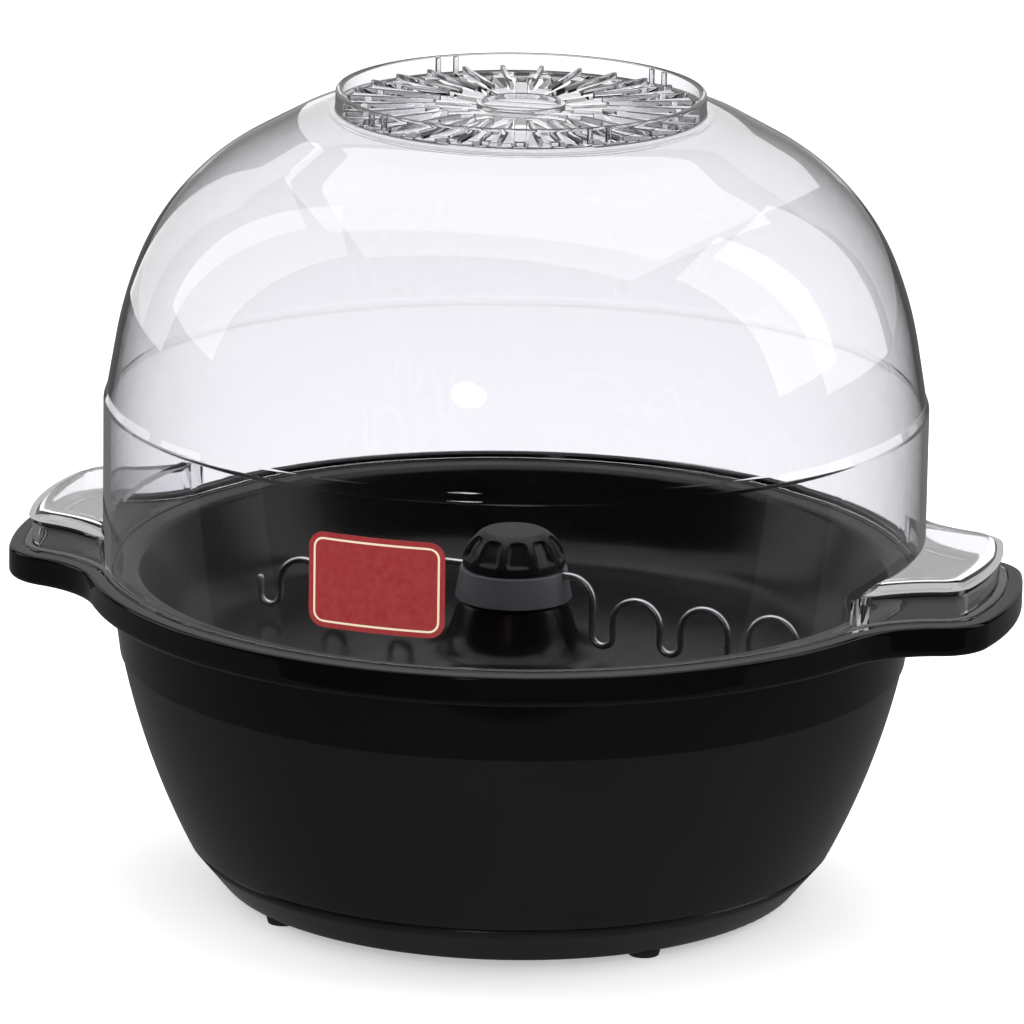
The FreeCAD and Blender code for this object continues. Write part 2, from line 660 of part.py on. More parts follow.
# ---- motor hung under the lid, on the shaft's own axis ----
can_wall = 1.2
bobbin_radius = rotor_radius + 1.0
can = disc(motor_radius, motor_height, motor_z).cut(
    disc(motor_radius - can_wall, motor_height - 2 * can_wall, motor_z + can_wall))
terminal_nose = block(-7, 7, motor_radius - 2, motor_radius + 4, motor_z + 3, motor_z + 11)
terminal_nose = terminal_nose.cut(disc(motor_radius - can_wall, motor_height, motor_z))
can = can.fuse(terminal_nose).removeSplitter()
save("motor_can", can.cut(disc(rotor_shaft_radius + running, motor_height, motor_z)))
coil_low = motor_z + can_wall + 0.5
coil_height = motor_height - 2 * can_wall - 1.0
coil_outer = motor_radius - can_wall - 0.5
bobbin = tube(coil_outer, bobbin_radius + loose, coil_height, coil_low)
bobbin = bobbin.cut(tube(coil_outer, bobbin_radius + 2.0, coil_height - 3.0, coil_low + 1.5))
save("motor_bobbin", bobbin)
save("motor_coil", tube(coil_outer - 1.0, bobbin_radius + 2.0, coil_height - 3.0, coil_low + 1.5))

# ---- rotor ----
idler_phase = 180.0 / wheel_teeth
rotor_bottom = coil_low + 1.0
rotor_height = coil_height - 2.0
save("rotor_magnet", tube(rotor_radius, rotor_shaft_radius, rotor_height, rotor_bottom))
rotor_shaft_top = layer_two + gear_face
save("rotor_shaft", disc(rotor_shaft_radius, rotor_shaft_top - motor_z - 0.2, motor_z + 0.2))
save("rotor_pinion", gear(pinion_teeth, gear_face, layer_two, rotor_shaft_radius, 180))

# ---- idler: wheel and pinion in one ----
idler_bore = idler_pin_radius + running
idler_wheel = gear(wheel_teeth, gear_face, layer_two, idler_bore, idler_phase)
idler_pinion = gear(pinion_teeth, gear_face + layer_gap, layer_two + gear_face, idler_bore, 0)
idler = moved(idler_wheel.fuse(idler_pinion).removeSplitter(), idler_x, 0, 0)
save("idler_gear", idler)

# ---- output wheel, drive shaft, bush, seal and nut ----
flat_offset = shaft_tip_radius + 0.06
nut_seal = 0.6
bush_nut_height = 2.2
bush_flange_radius = 9.0
bush_top = cone_top + nut_seal + bush_nut_height
clip_z = bush_top + 0.3
clip_thickness = 0.6
collar_z = cone_top + loose
collar_top = collar_z + collar_height
groove_depth = 2.4
groove_z = collar_top - groove_depth
recess_top = clip_z + clip_thickness + loose
shaft_bottom = layer_one - layer_gap + 0.5
tip_z = groove_z
knob_z = collar_top + loose
tip_top = knob_z + 6.5
save("output_wheel", gear(wheel_teeth, gear_face, layer_one, shaft_radius, 180.0 + idler_phase))
shaft = disc(shaft_radius, tip_z - shaft_bottom, shaft_bottom)
shaft = shaft.fuse(disc(shaft_tip_radius, tip_top - tip_z, tip_z)).removeSplitter()
shaft = shaft.cut(block(flat_offset, shaft_radius + 1, -5, 5, recess_top, tip_z))
clip_groove = tube(shaft_radius + 1, shaft_radius - 0.6, clip_thickness, clip_z)
save("drive_shaft", shaft.cut(clip_groove))
clip = tube(shaft_radius + 2.0, shaft_radius - 0.6, clip_thickness, clip_z)
save("shaft_clip", clip.cut(block(0, 9, -1.2, 1.2, clip_z - 1, clip_z + 2)))
bush = disc(bush_radius, bush_top - cone_top + 10.0, cone_top - 10.0)
bush = bush.fuse(disc(bush_flange_radius, 2.0, cone_top - kettle_thickness - 2.0)).removeSplitter()
save("shaft_bush", bush.cut(disc(shaft_radius + running, 40, cone_top - 20)))
save("bush_seal", tube(bush_flange_radius - 0.5, bush_radius, nut_seal, cone_top))
save("bush_nut", hexagon(15.0, bush_nut_height, cone_top + nut_seal).cut(disc(bush_radius, 9, cone_top)))

# ---- stirrer: collar keyed to the shaft, wire lying in a groove across the collar ----
wire_z = groove_z + wire_radius + 0.15
groove_half = wire_radius + 0.15
collar = Part.makeCone(collar_bottom_radius, collar_top_radius, collar_height, V(0, 0, collar_z), UP)
collar = collar.makeFillet(0.6, level_edges(collar, collar_top))
collar = collar.cut(disc(12.0, recess_top - collar_z, collar_z))
collar_bore = disc(shaft_radius + running, collar_height, collar_z)
collar_bore = collar_bore.cut(block(flat_offset + running, 9, -9, 9, collar_z - 1, collar_top + 1))
collar = collar.cut(collar_bore)
collar = collar.cut(tube(wire_eye + groove_half, wire_eye - groove_half, groove_depth, groove_z))
channel = block(wire_eye - 1, collar_bottom_radius, -groove_half, groove_half, groove_z, collar_top)
eye_bend = 3.0
flare = block(wire_eye - 1, wire_eye + eye_bend + 1, -groove_half, eye_bend, groove_z, collar_top)
for side in (channel, flare, channel.mirror(ORIGIN, V(1, 0, 0)), flare.mirror(ORIGIN, V(1, 0, 0))):
    collar = collar.cut(turned(side, wire_azimuth))
save("stir_collar", collar)


def wire_arm(first_valley, valleys, tail):
    """Half of the stirring wire, from the collar outwards in the XZ plane."""
    low = floor_z + wire_floor_gap
    high = floor_z + wire_peak_level
    edges = []

    def bend(x, z, radius, start, end):
        middle = math.radians((start + end) / 2)
        points = [V(x + radius * math.cos(math.radians(a)), 0, z + radius * math.sin(math.radians(a)))
                  for a in (start, end)]
        top = V(x + radius * math.cos(middle), 0, z + radius * math.sin(middle))
        if edges:
            here = edges[-1].Vertexes[-1].Point
            if (points[0] - here).Length > 1e-6:
                edges.append(Part.LineSegment(here, points[0]).toShape())
        edges.append(Part.Arc(points[0], top, points[1]).toShape())

    valley = first_valley
    bend(valley - wire_valley_bend - wire_peak_bend, wire_z - wire_peak_bend, wire_peak_bend, 90, 0)
    for count in range(valleys):
        bend(valley, low + wire_valley_bend, wire_valley_bend, 180, 360)
        if count < valleys - 1:
            peak = valley + wire_valley_bend + wire_peak_bend
            bend(peak, high - wire_peak_bend, wire_peak_bend, 180, 0)
            valley = peak + wire_peak_bend + wire_valley_bend
    here = edges[-1].Vertexes[-1].Point
    if tail:
        peak = valley + wire_valley_bend + wire_peak_bend
        bend(peak, high - wire_peak_bend, wire_peak_bend, 180, 30)
        here = edges[-1].Vertexes[-1].Point
        down = V(math.sin(math.radians(30)), 0, -math.cos(math.radians(30)))
        edges.append(Part.LineSegment(here, here + down * 3.5).toShape())
    else:
        edges.append(Part.LineSegment(here, here + UP * 5.0).toShape())
    return edges


def eye_edges():
    """Eye of the wire round the shaft, at the origin's height."""
    away = math.sqrt((wire_eye + eye_bend) ** 2 - eye_bend ** 2)
    lean = math.degrees(math.atan2(eye_bend, away))
    left = V(-away, eye_bend, 0)
    right = V(away, eye_bend, 0)
    return [arc_about(left, eye_bend, -90, -lean),
            arc_about(ORIGIN, wire_eye, 180 - lean, lean),
            arc_about(right, eye_bend, 180 + lean, 270)], away


eye, eye_reach = eye_edges()
right_arm = wire_arm(wire_right_first, 3, True)
left_arm = wire_arm(wire_left_first, 3, False)
wire_edges = [moved(edge, 0, 0, wire_z) for edge in eye] + right_arm
wire_edges += [turned(edge, 180) for edge in left_arm]
for arm_edges, side in ((right_arm, 1), (left_arm, -1)):
    inner = V(side * eye_reach, 0, wire_z)
    outer = arm_edges[0].Vertexes[0].Point
    wire_edges.append(Part.LineSegment(inner, V(side * outer.x, 0, wire_z)).toShape())
stir_wire = pipe(Part.__sortEdges__(wire_edges), wire_radius)
save("stir_wire", turned(stir_wire, wire_azimuth))

# ---- knob with its threaded insert ----
insert_radius = 4.5
insert_height = 8.0
knob_outline = [V(0, 0, knob_z), V(knob_radius - 0.6, 0, knob_z), V(knob_radius, 0, knob_z + 0.8),
                V(knob_radius, 0, knob_z + 2.6)]
knob_side = Part.Arc(knob_outline[-1], V(knob_radius - 2.4, 0, knob_z + 8.0),
                     V(knob_top_radius, 0, knob_z + knob_height)).toShape()
knob_edges = [Part.LineSegment(a, b).toShape() for a, b in zip(knob_outline, knob_outline[1:])]
knob_edges += [knob_side, Part.LineSegment(V(knob_top_radius, 0, knob_z + knob_height),
                                           V(0, 0, knob_z + knob_height)).toShape(),
               Part.LineSegment(V(0, 0, knob_z + knob_height), V(0, 0, knob_z)).toShape()]
knob = Part.Face(Part.Wire(knob_edges)).revolve(ORIGIN, UP, 360)
dimple_ball = 8.0
dimple = Part.makeSphere(dimple_ball, V(knob_radius + dimple_ball - 2.6, 0, knob_z + 6.2))
for step in range(knob_dimples):
    knob = knob.cut(turned(dimple, 360.0 * (step + 0.5) / knob_dimples))
save("stir_knob", knob.cut(disc(insert_radius, insert_height, knob_z)))
insert = disc(insert_radius, insert_height, knob_z)
save("knob_insert", insert.cut(disc(shaft_tip_radius + running, tip_top - knob_z + 0.7, knob_z)))

# ---- clear cover: dome, ledge, skirt, flange and two hollow grips in one moulding; vented well ----
ledge_z = flange_top + skirt_height
dome_z = ledge_z + ledge_height
dome_radius = skirt_radius - ledge_step
floor_top = flange_top + ring_top - ring_recess
dome = sheet_of_revolution([(skirt_radius, flange_bottom), (skirt_radius, ledge_z),
                            (dome_radius, dome_z),
                            (dome_shoulder[0], dome_z + dome_shoulder[1]),
                            (dome_crown[0], dome_z + dome_crown[1]),
                            (dome_brow[0], dome_z + dome_brow[1]),
                            (dome_mouth[0], dome_z + dome_mouth[1])],
                           [4.0, -4.2, dome_shoulder[2], dome_crown[2], dome_brow[2]], -clear_wall)
dome = dome.cut(disc(ring_radius + ring_fit, ring_recess * 2, floor_top - ring_recess))
well_bottom = floor_top - clear_wall - 2 * loose - ring_lip_thickness
ring = tube(ring_radius, ring_radius - ring_wall, flange_top + ring_top - well_bottom, well_bottom)
lip = tube(ring_radius + ring_lip, ring_radius - ring_wall, ring_lip_thickness, well_bottom)
floor = disc(ring_radius - ring_wall / 2, clear_wall, floor_top - clear_wall)
fin = block(fin_start, ring_radius - ring_wall / 2, -fin_thickness / 2, fin_thickness / 2,
            floor_top - 0.2, floor_top + fin_height)
hub_ring = tube(long_slot_start - 2.0, long_slot_start - 3.6, fin_height + 0.2, floor_top - 0.2)
slot_step = 360.0 / slot_count
fins = [turned(fin, slot_step * (count + 0.5)) for count in range(slot_count)]
post = block(ring_radius - ring_wall - 1.4, ring_radius - ring_wall / 2, -0.8, 0.8, floor_top - 0.2,
             flange_top + ring_top)
posts = [turned(post, angle + side * 3.2) for angle in ring_post_angles for side in (-1, 1)]

flange = plan_block(flange_inset, flange_bottom, flange_top).cut(disc(skirt_bore, 9, flange_bottom - 1))
grip_top = flange_top + ear_height
grips = plan_block(flange_inset + ear_inset, flange_bottom, grip_top)
grips = grips.makeFillet(ear_round, level_edges(grips, grip_top)).cut(disc(skirt_radius - 0.5, 60, 90))
pocket_top = grip_top - clear_wall
pocket = plan_block(flange_inset + ear_inset + clear_wall, flange_bottom - 1, pocket_top)
pocket = pocket.makeFillet(ear_round - clear_wall, level_edges(pocket, pocket_top))
pocket = pocket.cut(disc(skirt_radius, 60, 90))

well = fused([ring, lip, floor, hub_ring] + fins + posts)
slots = []
for count in range(slot_count):
    start = short_slot_start if count % 2 else long_slot_start
    slot = block(start, slot_end, -slot_width / 2, slot_width / 2, floor_top - 3, floor_top + 1)
    edge_slot = block(slot_end + 2.0, ring_radius - ring_wall - 0.8, -edge_slot_width / 2,
                      edge_slot_width / 2, floor_top - 3, floor_top + 1)
    slots += [turned(slot, slot_step * count), turned(edge_slot, slot_step * count)]
save("vent_well", well.cut(Part.makeCompound(slots)))
save("dome_cover", fused([dome, flange, grips]).cut(pocket))

label = Part.makeBox(skirt_radius, label_width, label_height,
                     V(0, -label_width / 2, flange_top + label_level - label_height / 2))
label_corners = [edge for edge in label.Edges if abs(edge.tangentAt(0).x) > 0.99]
label = label.makeFillet(5.0, label_corners)
label = moved(label, 20, 0, 0)
film = tube(skirt_radius + label_thickness, skirt_radius, skirt_height, flange_top)
save("cover_label", turned(label.common(film), label_azimuth))

# ---- terminal block and the leads that stay inside the base ----
lead_radius = 1.1
lead_bend = 3.0
terminal_top = tray_floor + terminal_plinth + 14.0
terminal_front = terminal_y - 9.0
terminal_back = terminal_y + 9.0
terminal = block(-16, 16, terminal_front, terminal_back, tray_floor + terminal_plinth, terminal_top)
for x in (-13.5, 0.0, 13.5):
    notch = block(x - 1.0, x + 1.0, terminal_front, terminal_back, terminal_top - 5, terminal_top)
    terminal = terminal.cut(notch)
save("terminal_block", terminal)
terminal_pins = [disc(1.6, 1.2, terminal_top, x, terminal_y + y) for x in (-5.0, 5.0) for y in (-5.5, 5.5)]
save("terminal_screws", Part.makeCompound(terminal_pins))

leads = []
for end in ends:
    tab_end = end - UP * 8.0
    drop = V(tab_end.x, terminal_y, terminal_top)
    path = [tab_end, tab_end - UP * 7.0, drop + UP * 7.0, drop]
    leads.append(pipe(rounded_path(path, [lead_bend, lead_bend]), lead_radius))
save("element_leads", Part.makeCompound(leads))
leads = []
for x in (-4.0, 4.0):
    start = V(x, motor_radius + 4, motor_z + 7)
    end = V(x, terminal_front, tray_floor + terminal_plinth + 7)
    path = [start, start + BACK * 14.0, end - BACK * 10.0, end]
    leads.append(pipe(rounded_path(path, [lead_bend, lead_bend]), lead_radius))
save("motor_leads", Part.makeCompound(leads))
sensor_place = polar(sensor_circle, thermostat_angle, kettle_under - fuse_radius - 1.2)
fuse_place = turned(Part.Vertex(sensor_circle, -fuse_length / 2, sensor_place.z), fuse_angle).Point
towards = (fuse_place - sensor_place).normalize()
save("sensor_lead", rod(sensor_place + towards * (sensor_radius + 1.6), fuse_place - towards * 2.0, 0.9))
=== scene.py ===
import json
import math
import bpy
import bmesh
from mathutils import Matrix, Vector


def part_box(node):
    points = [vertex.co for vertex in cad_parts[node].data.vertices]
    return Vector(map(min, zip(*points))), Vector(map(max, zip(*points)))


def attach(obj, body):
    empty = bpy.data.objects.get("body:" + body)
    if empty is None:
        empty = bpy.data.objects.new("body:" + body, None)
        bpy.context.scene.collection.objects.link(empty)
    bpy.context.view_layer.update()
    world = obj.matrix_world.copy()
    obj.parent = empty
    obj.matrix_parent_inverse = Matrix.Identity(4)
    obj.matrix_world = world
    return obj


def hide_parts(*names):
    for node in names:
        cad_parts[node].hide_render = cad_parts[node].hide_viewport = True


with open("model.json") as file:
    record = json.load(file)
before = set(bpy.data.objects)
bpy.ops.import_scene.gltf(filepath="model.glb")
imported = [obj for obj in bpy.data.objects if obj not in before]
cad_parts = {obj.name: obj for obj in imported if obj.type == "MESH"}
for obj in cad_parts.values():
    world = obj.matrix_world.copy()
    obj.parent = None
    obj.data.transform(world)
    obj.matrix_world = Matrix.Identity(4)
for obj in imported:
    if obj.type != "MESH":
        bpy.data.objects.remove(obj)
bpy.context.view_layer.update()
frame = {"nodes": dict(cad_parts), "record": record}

# Stirring popcorn maker. Metres, +Z up, handles along X, front at -Y.
MM = 0.001
TURN = 2 * math.pi

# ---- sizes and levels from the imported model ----
housing_low, housing_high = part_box("base_housing")
cover_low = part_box("dome_cover")[0]
kettle_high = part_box("kettle")[1]
collar_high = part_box("stir_collar")[1]
knob_low, knob_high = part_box("stir_knob")
label_low, label_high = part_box("cover_label")
cone_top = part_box("bush_seal")[0].z

rim_radius = housing_high.y
handle_reach = housing_high.x
seam_z = housing_low.z
rim_top = housing_high.z
flange_bottom = cover_low.z
flange_top = flange_bottom + 2.0 * MM
neck_z = seam_z + 61.5 * MM
rim_z = rim_top - 9.7 * MM
lip_top = kettle_high.z
floor_z = cone_top - 16.8 * MM
flange_inset = 5.0 * MM
skirt_radius = rim_radius - 6.0 * MM
clear_wall = 2.0 * MM
seat_radius = skirt_radius - clear_wall - 1.2 * MM
label_width, label_height, label_bend = 44.0 * MM, 30.0 * MM, 5.0 * MM
label_azimuth = math.radians(-95.7)
knob_dimples = 10
slot_count = 28
slot_step = TURN / slot_count


# ---- paths and sections ----
def arc(centre, radius, start, end, steps):
    """Points along an arc, by angles in degrees."""
    points = []
    for step in range(steps + 1):
        angle = math.radians(start + (end - start) * step / steps)
        points.append((centre[0] + radius * math.cos(angle), centre[1] + radius * math.sin(angle)))
    return points


def arc_through(first, middle, last, steps):
    """Points along the arc through three points."""
    (ax, ay), (bx, by), (cx, cy) = first, middle, last
    d = 2 * (ax * (by - cy) + bx * (cy - ay) + cx * (ay - by))
    a2, b2, c2 = ax * ax + ay * ay, bx * bx + by * by, cx * cx + cy * cy
    x = (a2 * (by - cy) + b2 * (cy - ay) + c2 * (ay - by)) / d
    y = (a2 * (cx - bx) + b2 * (ax - cx) + c2 * (bx - ax)) / d
    start = math.degrees(math.atan2(ay - y, ax - x))
    end = math.degrees(math.atan2(cy - y, cx - x))
    return arc((x, y), math.hypot(ax - x, ay - y), start, end, steps)


def rounded(corners, steps=6, closed=False):
    """Section with each corner (x, z, bend, mark) rounded, and points held close to each bend."""
    section = []
    count = len(corners)
    arms = []
    for index, (x, z, bend, mark) in enumerate(corners):
        at = Vector((x, z))
        before = Vector(corners[index - 1][:2]) - at
        after = Vector(corners[(index + 1) % count][:2]) - at
        bent = bend > 0 and (closed or 0 < index < count - 1)
        half = before.angle(after) / 2 if bent else 0
        arms.append((at, before, after, half, bend / math.tan(half) if bent else 0.0))
    for index, (x, z, bend, mark) in enumerate(corners):
        at, before, after, half, run = arms[index]
        if not run:
            section.append((x, z, mark))
            continue
        free = [before.length - run - arms[index - 1][4],
                after.length - run - arms[(index + 1) % count][4]]
        hold_before, hold_after = [min(0.5 * bend, 0.3 * max(space, 0.0)) for space in free]
        before = before.normalized()
        after = after.normalized()
        centre = at + (before + after).normalized() * (bend / math.sin(half))
        start = at + before * run
        end = at + after * run
        spread = math.pi - 2 * half
        if hold_before > 0.01 * MM:
            section.append((*(start + before * hold_before), mark))
        one, two = start - centre, end - centre
        for step in range(steps + 1):
            part = step / steps
            if math.sin(spread) > 1e-6:
                arm = (one * math.sin((1 - part) * spread) + two * math.sin(part * spread)) / math.sin(spread)
            else:
                arm = one * (1 - part) + two * part
            section.append((*(centre + arm), mark))
        if hold_after > 0.01 * MM:
            section.append((*(end + after * hold_after), mark))
    return section


def offset_corners(corners, distance):
    """Corners of a sheet's path moved sideways, each with its bend changed to suit."""
    points = [Vector(corner[:2]) for corner in corners]
    normals = [Vector((b.y - a.y, a.x - b.x)).normalized() for a, b in zip(points, points[1:])]
    moved = []
    for index, corner in enumerate(corners):
        if index == 0 or index == len(corners) - 1:
            shift = normals[min(index, len(normals) - 1)] * distance
            bend = 0.0
        else:
            middle = normals[index - 1] + normals[index]
            shift = middle * (2 * distance / middle.dot(middle))
            one, two = points[index] - points[index - 1], points[index + 1] - points[index]
            turn = one.x * two.y - one.y * two.x
            bend = max(corner[2] + (distance if turn > 0 else -distance), 0.0) if corner[2] else 0.0
        moved.append((*(points[index] + shift), bend, corner[3]))
    return moved


def sheet(corners, thickness, steps=8):
    """Closed section of an even wall along a path of corners."""
    return rounded(corners, steps) + rounded(offset_corners(corners, thickness), steps)[::-1]


def plan_outline(inset):
    """Outline of the rim with its two handles, moved in by an inset, always by the same number of points."""
    half_width, knuckle_round, bulge, cove_round = 42.8 * MM, 18.3 * MM, 3.0 * MM, 37.0 * MM
    tip = handle_reach - knuckle_round
    knuckle = Vector((tip - bulge, half_width - knuckle_round))
    end_x = (tip ** 2 - knuckle.dot(knuckle)) / (2 * bulge)
    to_cove, reach, spread = rim_radius + cove_round, knuckle_round + cove_round, knuckle.length
    cosine = (spread ** 2 + to_cove ** 2 - reach ** 2) / (2 * spread * to_cove)
    cove_angle = math.degrees(math.atan2(knuckle.y, knuckle.x) + math.acos(cosine))
    cove = Vector((math.cos(math.radians(cove_angle)), math.sin(math.radians(cove_angle)))) * to_cove
    from_cove = math.degrees(math.atan2(knuckle.y - cove.y, knuckle.x - cove.x)) + 360
    end_angle = math.degrees(math.atan2(knuckle.y, knuckle.x - end_x))
    quarter = arc((0, 0), rim_radius - inset, 90, cove_angle, 40)
    quarter += arc(cove, cove_round + inset, cove_angle + 180, from_cove, 26)[1:]
    quarter += arc(knuckle, knuckle_round - inset, from_cove - 180, end_angle, 24)[1:]
    quarter += arc((end_x, 0), handle_reach - end_x - inset, end_angle, 0, 10)[1:]
    half = quarter + [(x, -y) for x, y in reversed(quarter[:-1])]
    return half + [(-x, y) for x, y in reversed(half[1:-1])]


plan_bearings = [math.atan2(y, x) for x, y in plan_outline(0.0)]


def plan_ring(x, z, mark):
    """One ring of a moulding's section: round, along the handle outline, or raised in the handles only."""
    circle = [(math.cos(a), math.sin(a)) for a in plan_bearings]
    if mark == "round":
        return [(x * c, x * s, z) for c, s in circle]
    ring = []
    for px, py in plan_outline(rim_radius - x):
        reach = math.hypot(px, py)
        if mark == "plan" or reach > skirt_radius:
            ring.append((px, py, z))
        elif mark == "ear":
            ring.append((px * skirt_radius / reach, py * skirt_radius / reach, z))
        else:
            ring.append((px * skirt_radius / reach, py * skirt_radius / reach, flange_bottom))
    if mark == "pocket root":
        outside = [math.hypot(*p) > skirt_radius + 0.3 * MM for p in plan_outline(rim_radius - pocket_edge)]
        ring = [(skirt_radius * c, skirt_radius * s, z if out else flange_bottom)
                for (c, s), out in zip(circle, outside)]
    return ring


# ---- meshes ----
def make_piece(name, points, faces, material, crease=35.0):
    """Closed, smooth piece with its faces outwards."""
    mesh = bpy.data.meshes.new(name)
    mesh.from_pydata(points, [], faces)
    form = bmesh.new()
    form.from_mesh(mesh)
    bmesh.ops.remove_doubles(form, verts=form.verts, dist=2e-6)
    bmesh.ops.dissolve_degenerate(form, edges=form.edges, dist=1e-6)
    bmesh.ops.recalc_face_normals(form, faces=form.faces)
    form.to_mesh(mesh)
    form.free()
    mesh.shade_smooth()
    mesh.set_sharp_from_angle(angle=math.radians(crease))
    mesh.materials.append(material)
    piece = bpy.data.objects.new(name, mesh)
    bpy.context.scene.collection.objects.link(piece)
    return piece


def skin(rings, closed=True):
    """Points and faces of a skin over rings that all have the same number of points."""
    count = len(rings[0])
    points = [point for ring in rings for point in ring]
    faces = []
    rows = len(rings) if closed else len(rings) - 1
    for row in range(rows):
        low, high = row * count, (row + 1) % len(rings) * count
        for step in range(count):
            after = (step + 1) % count
            faces.append((low + step, low + after, high + after, high + step))
    return points, faces


def moulding(name, section, material, crease=35.0):
    """Piece from a closed section carried round the handle outline."""
    return make_piece(name, *skin([plan_ring(*point) for point in section]), material, crease)


def turned(name, section, material, sides=160, crease=35.0, centre=(0.0, 0.0)):
    """Piece from a closed section turned about an upright axis."""
    rings = []
    for step in range(sides):
        c, s = math.cos(TURN * step / sides), math.sin(TURN * step / sides)
        rings.append([(centre[0] + r * c, centre[1] + r * s, z) for r, z, *_ in section])
    return make_piece(name, *skin(rings), material, crease)


def swept(name, path, radius, material, sides=18):
    """Round wire along a path of points, with rounded ends."""
    frames = []
    side = None
    for index, point in enumerate(path):
        ahead = (path[min(index + 1, len(path) - 1)] - path[max(index - 1, 0)]).normalized()
        if side is None:
            side = ahead.orthogonal().normalized()
        side = (side - ahead * side.dot(ahead)).normalized()
        frames.append((point, side, ahead.cross(side), ahead))
    ends = [(math.cos(a), math.sin(a)) for a in (0.25 * math.pi, 0.42 * math.pi)]
    stations = [(frames[0], -s * radius, c * radius) for c, s in reversed(ends)]
    stations += [(f, 0.0, radius) for f in frames]
    stations += [(frames[-1], s * radius, c * radius) for c, s in ends]
    rings = []
    for (point, side, over, ahead), along, r in stations:
        rings.append([point + ahead * along + side * (r * math.cos(TURN * k / sides))
                      + over * (r * math.sin(TURN * k / sides)) for k in range(sides)])
    points, faces = skin(rings, closed=False)
    faces.append(tuple(range(sides - 1, -1, -1)))
    faces.append(tuple(range(len(points) - sides, len(points))))
    return make_piece(name, points, faces, material, 60.0)


def merged_copy(node, name, material, crease=30.0):
    """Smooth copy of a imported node, its loose triangles joined."""
    source = frame["nodes"][node].data
    form = bmesh.new()
    form.from_mesh(source)
    bmesh.ops.remove_doubles(form, verts=form.verts, dist=2e-6)
    mesh = bpy.data.meshes.new(name)
    form.to_mesh(mesh)
    form.free()
    mesh.materials.clear()
    mesh.shade_smooth()
    mesh.set_sharp_from_angle(angle=math.radians(crease))
    mesh.materials.append(material)
    for polygon in mesh.polygons:
        polygon.material_index = 0
    piece = bpy.data.objects.new(name, mesh)
    bpy.context.scene.collection.objects.link(piece)
    return piece


def fit(piece, body, slot, *nodes):
    """Piece joined to a body, the nodes it stands for hidden. The slot argument is not used."""
    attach(piece, body)
    if nodes:
        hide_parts(*nodes)
    return piece


# ---- materials ----
class Finish:
    """A shader being put together."""

    def __init__(self, name, colour, roughness, metallic=0.0, **sockets):
        self.material = bpy.data.materials.new(name)
        self.material.use_nodes = True
        self.tree = self.material.node_tree
        self.shader = self.tree.nodes["Principled BSDF"]
        self.shader.inputs["Base Color"].default_value = (*colour, 1.0)
        self.shader.inputs["Roughness"].default_value = roughness
        self.shader.inputs["Metallic"].default_value = metallic
        for socket, value in sockets.items():
            self.shader.inputs[socket.replace("_", " ")].default_value = value
        self.place = self.add("ShaderNodeTexCoord").outputs["Object"]
        self.bumps = None

    def add(self, kind, **settings):
        node = self.tree.nodes.new(kind)
        for key, value in settings.items():
            setattr(node, key, value)
        return node

    def join(self, start, end):
        self.tree.links.new(start, end)

    def grain(self, scale, detail=3.0, stretch=(1, 1, 1), distortion=0.0):
        """Noise in the piece's own coordinates."""
        mapping = self.add("ShaderNodeMapping")
        mapping.inputs["Scale"].default_value = stretch
        self.join(self.place, mapping.inputs["Vector"])
        noise = self.add("ShaderNodeTexNoise")
        noise.inputs["Scale"].default_value = scale
        noise.inputs["Detail"].default_value = detail
        noise.inputs["Distortion"].default_value = distortion
        self.join(mapping.outputs["Vector"], noise.inputs["Vector"])
        return noise.outputs["Fac"]

    def spread(self, source, low, high, start=0.3, end=0.7):
        """A value moved from one range to another."""
        span = self.add("ShaderNodeMapRange")
        span.inputs["From Min"].default_value = start
        span.inputs["From Max"].default_value = end
        span.inputs["To Min"].default_value = low
        span.inputs["To Max"].default_value = high
        self.join(source, span.inputs["Value"])
        return span.outputs["Result"]

    def roughness(self, source, low, high, start=0.3, end=0.7):
        self.join(self.spread(source, low, high, start, end), self.shader.inputs["Roughness"])

    def tint(self, source, first, second, start=0.35, end=0.65):
        """Base colour that drifts between two shades."""
        ramp = self.add("ShaderNodeValToRGB")
        ramp.color_ramp.elements[0].position = start
        ramp.color_ramp.elements[0].color = (*first, 1.0)
        ramp.color_ramp.elements[1].position = end
        ramp.color_ramp.elements[1].color = (*second, 1.0)
        self.join(source, ramp.inputs["Fac"])
        self.join(ramp.outputs["Color"], self.shader.inputs["Base Color"])

    def bump(self, source, depth, strength=1.0):
        """Fine relief, added to what is there."""
        node = self.add("ShaderNodeBump")
        node.inputs["Distance"].default_value = depth
        node.inputs["Strength"].default_value = strength
        self.join(source, node.inputs["Height"])
        if self.bumps is not None:
            self.join(self.bumps, node.inputs["Normal"])
        self.bumps = node.outputs["Normal"]
        self.join(self.bumps, self.shader.inputs["Normal"])


def moulded(name, colour, low, high, relief, level=0.5):
    """Moulded plastic: soft flow lines, drifting gloss and a fine skin."""
    finish = Finish(name, colour, low, Specular_IOR_Level=level)
    flow = finish.grain(18.0, 4.0, (1, 1, 2.5), 0.6)
    finish.roughness(flow, low, high)
    finish.tint(flow, [c * 0.85 for c in colour], [min(c * 1.15 + 0.001, 1) for c in colour])
    finish.bump(finish.grain(55.0, 2.0), 0.03 * MM, 0.5)
    finish.bump(finish.grain(2600.0, 2.0), relief * MM, 0.6)
    return finish


def metal(name, colour, low, high, stretch=(1, 1, 1), relief=0.01):
    """Metal with fine drawn or rolled marks."""
    finish = Finish(name, colour, low, 1.0)
    marks = finish.grain(900.0, 4.0, stretch)
    finish.roughness(marks, low, high)
    finish.tint(finish.grain(70.0, 4.0), [c * 0.8 for c in colour], colour)
    finish.bump(marks, relief * MM, 0.7)
    return finish


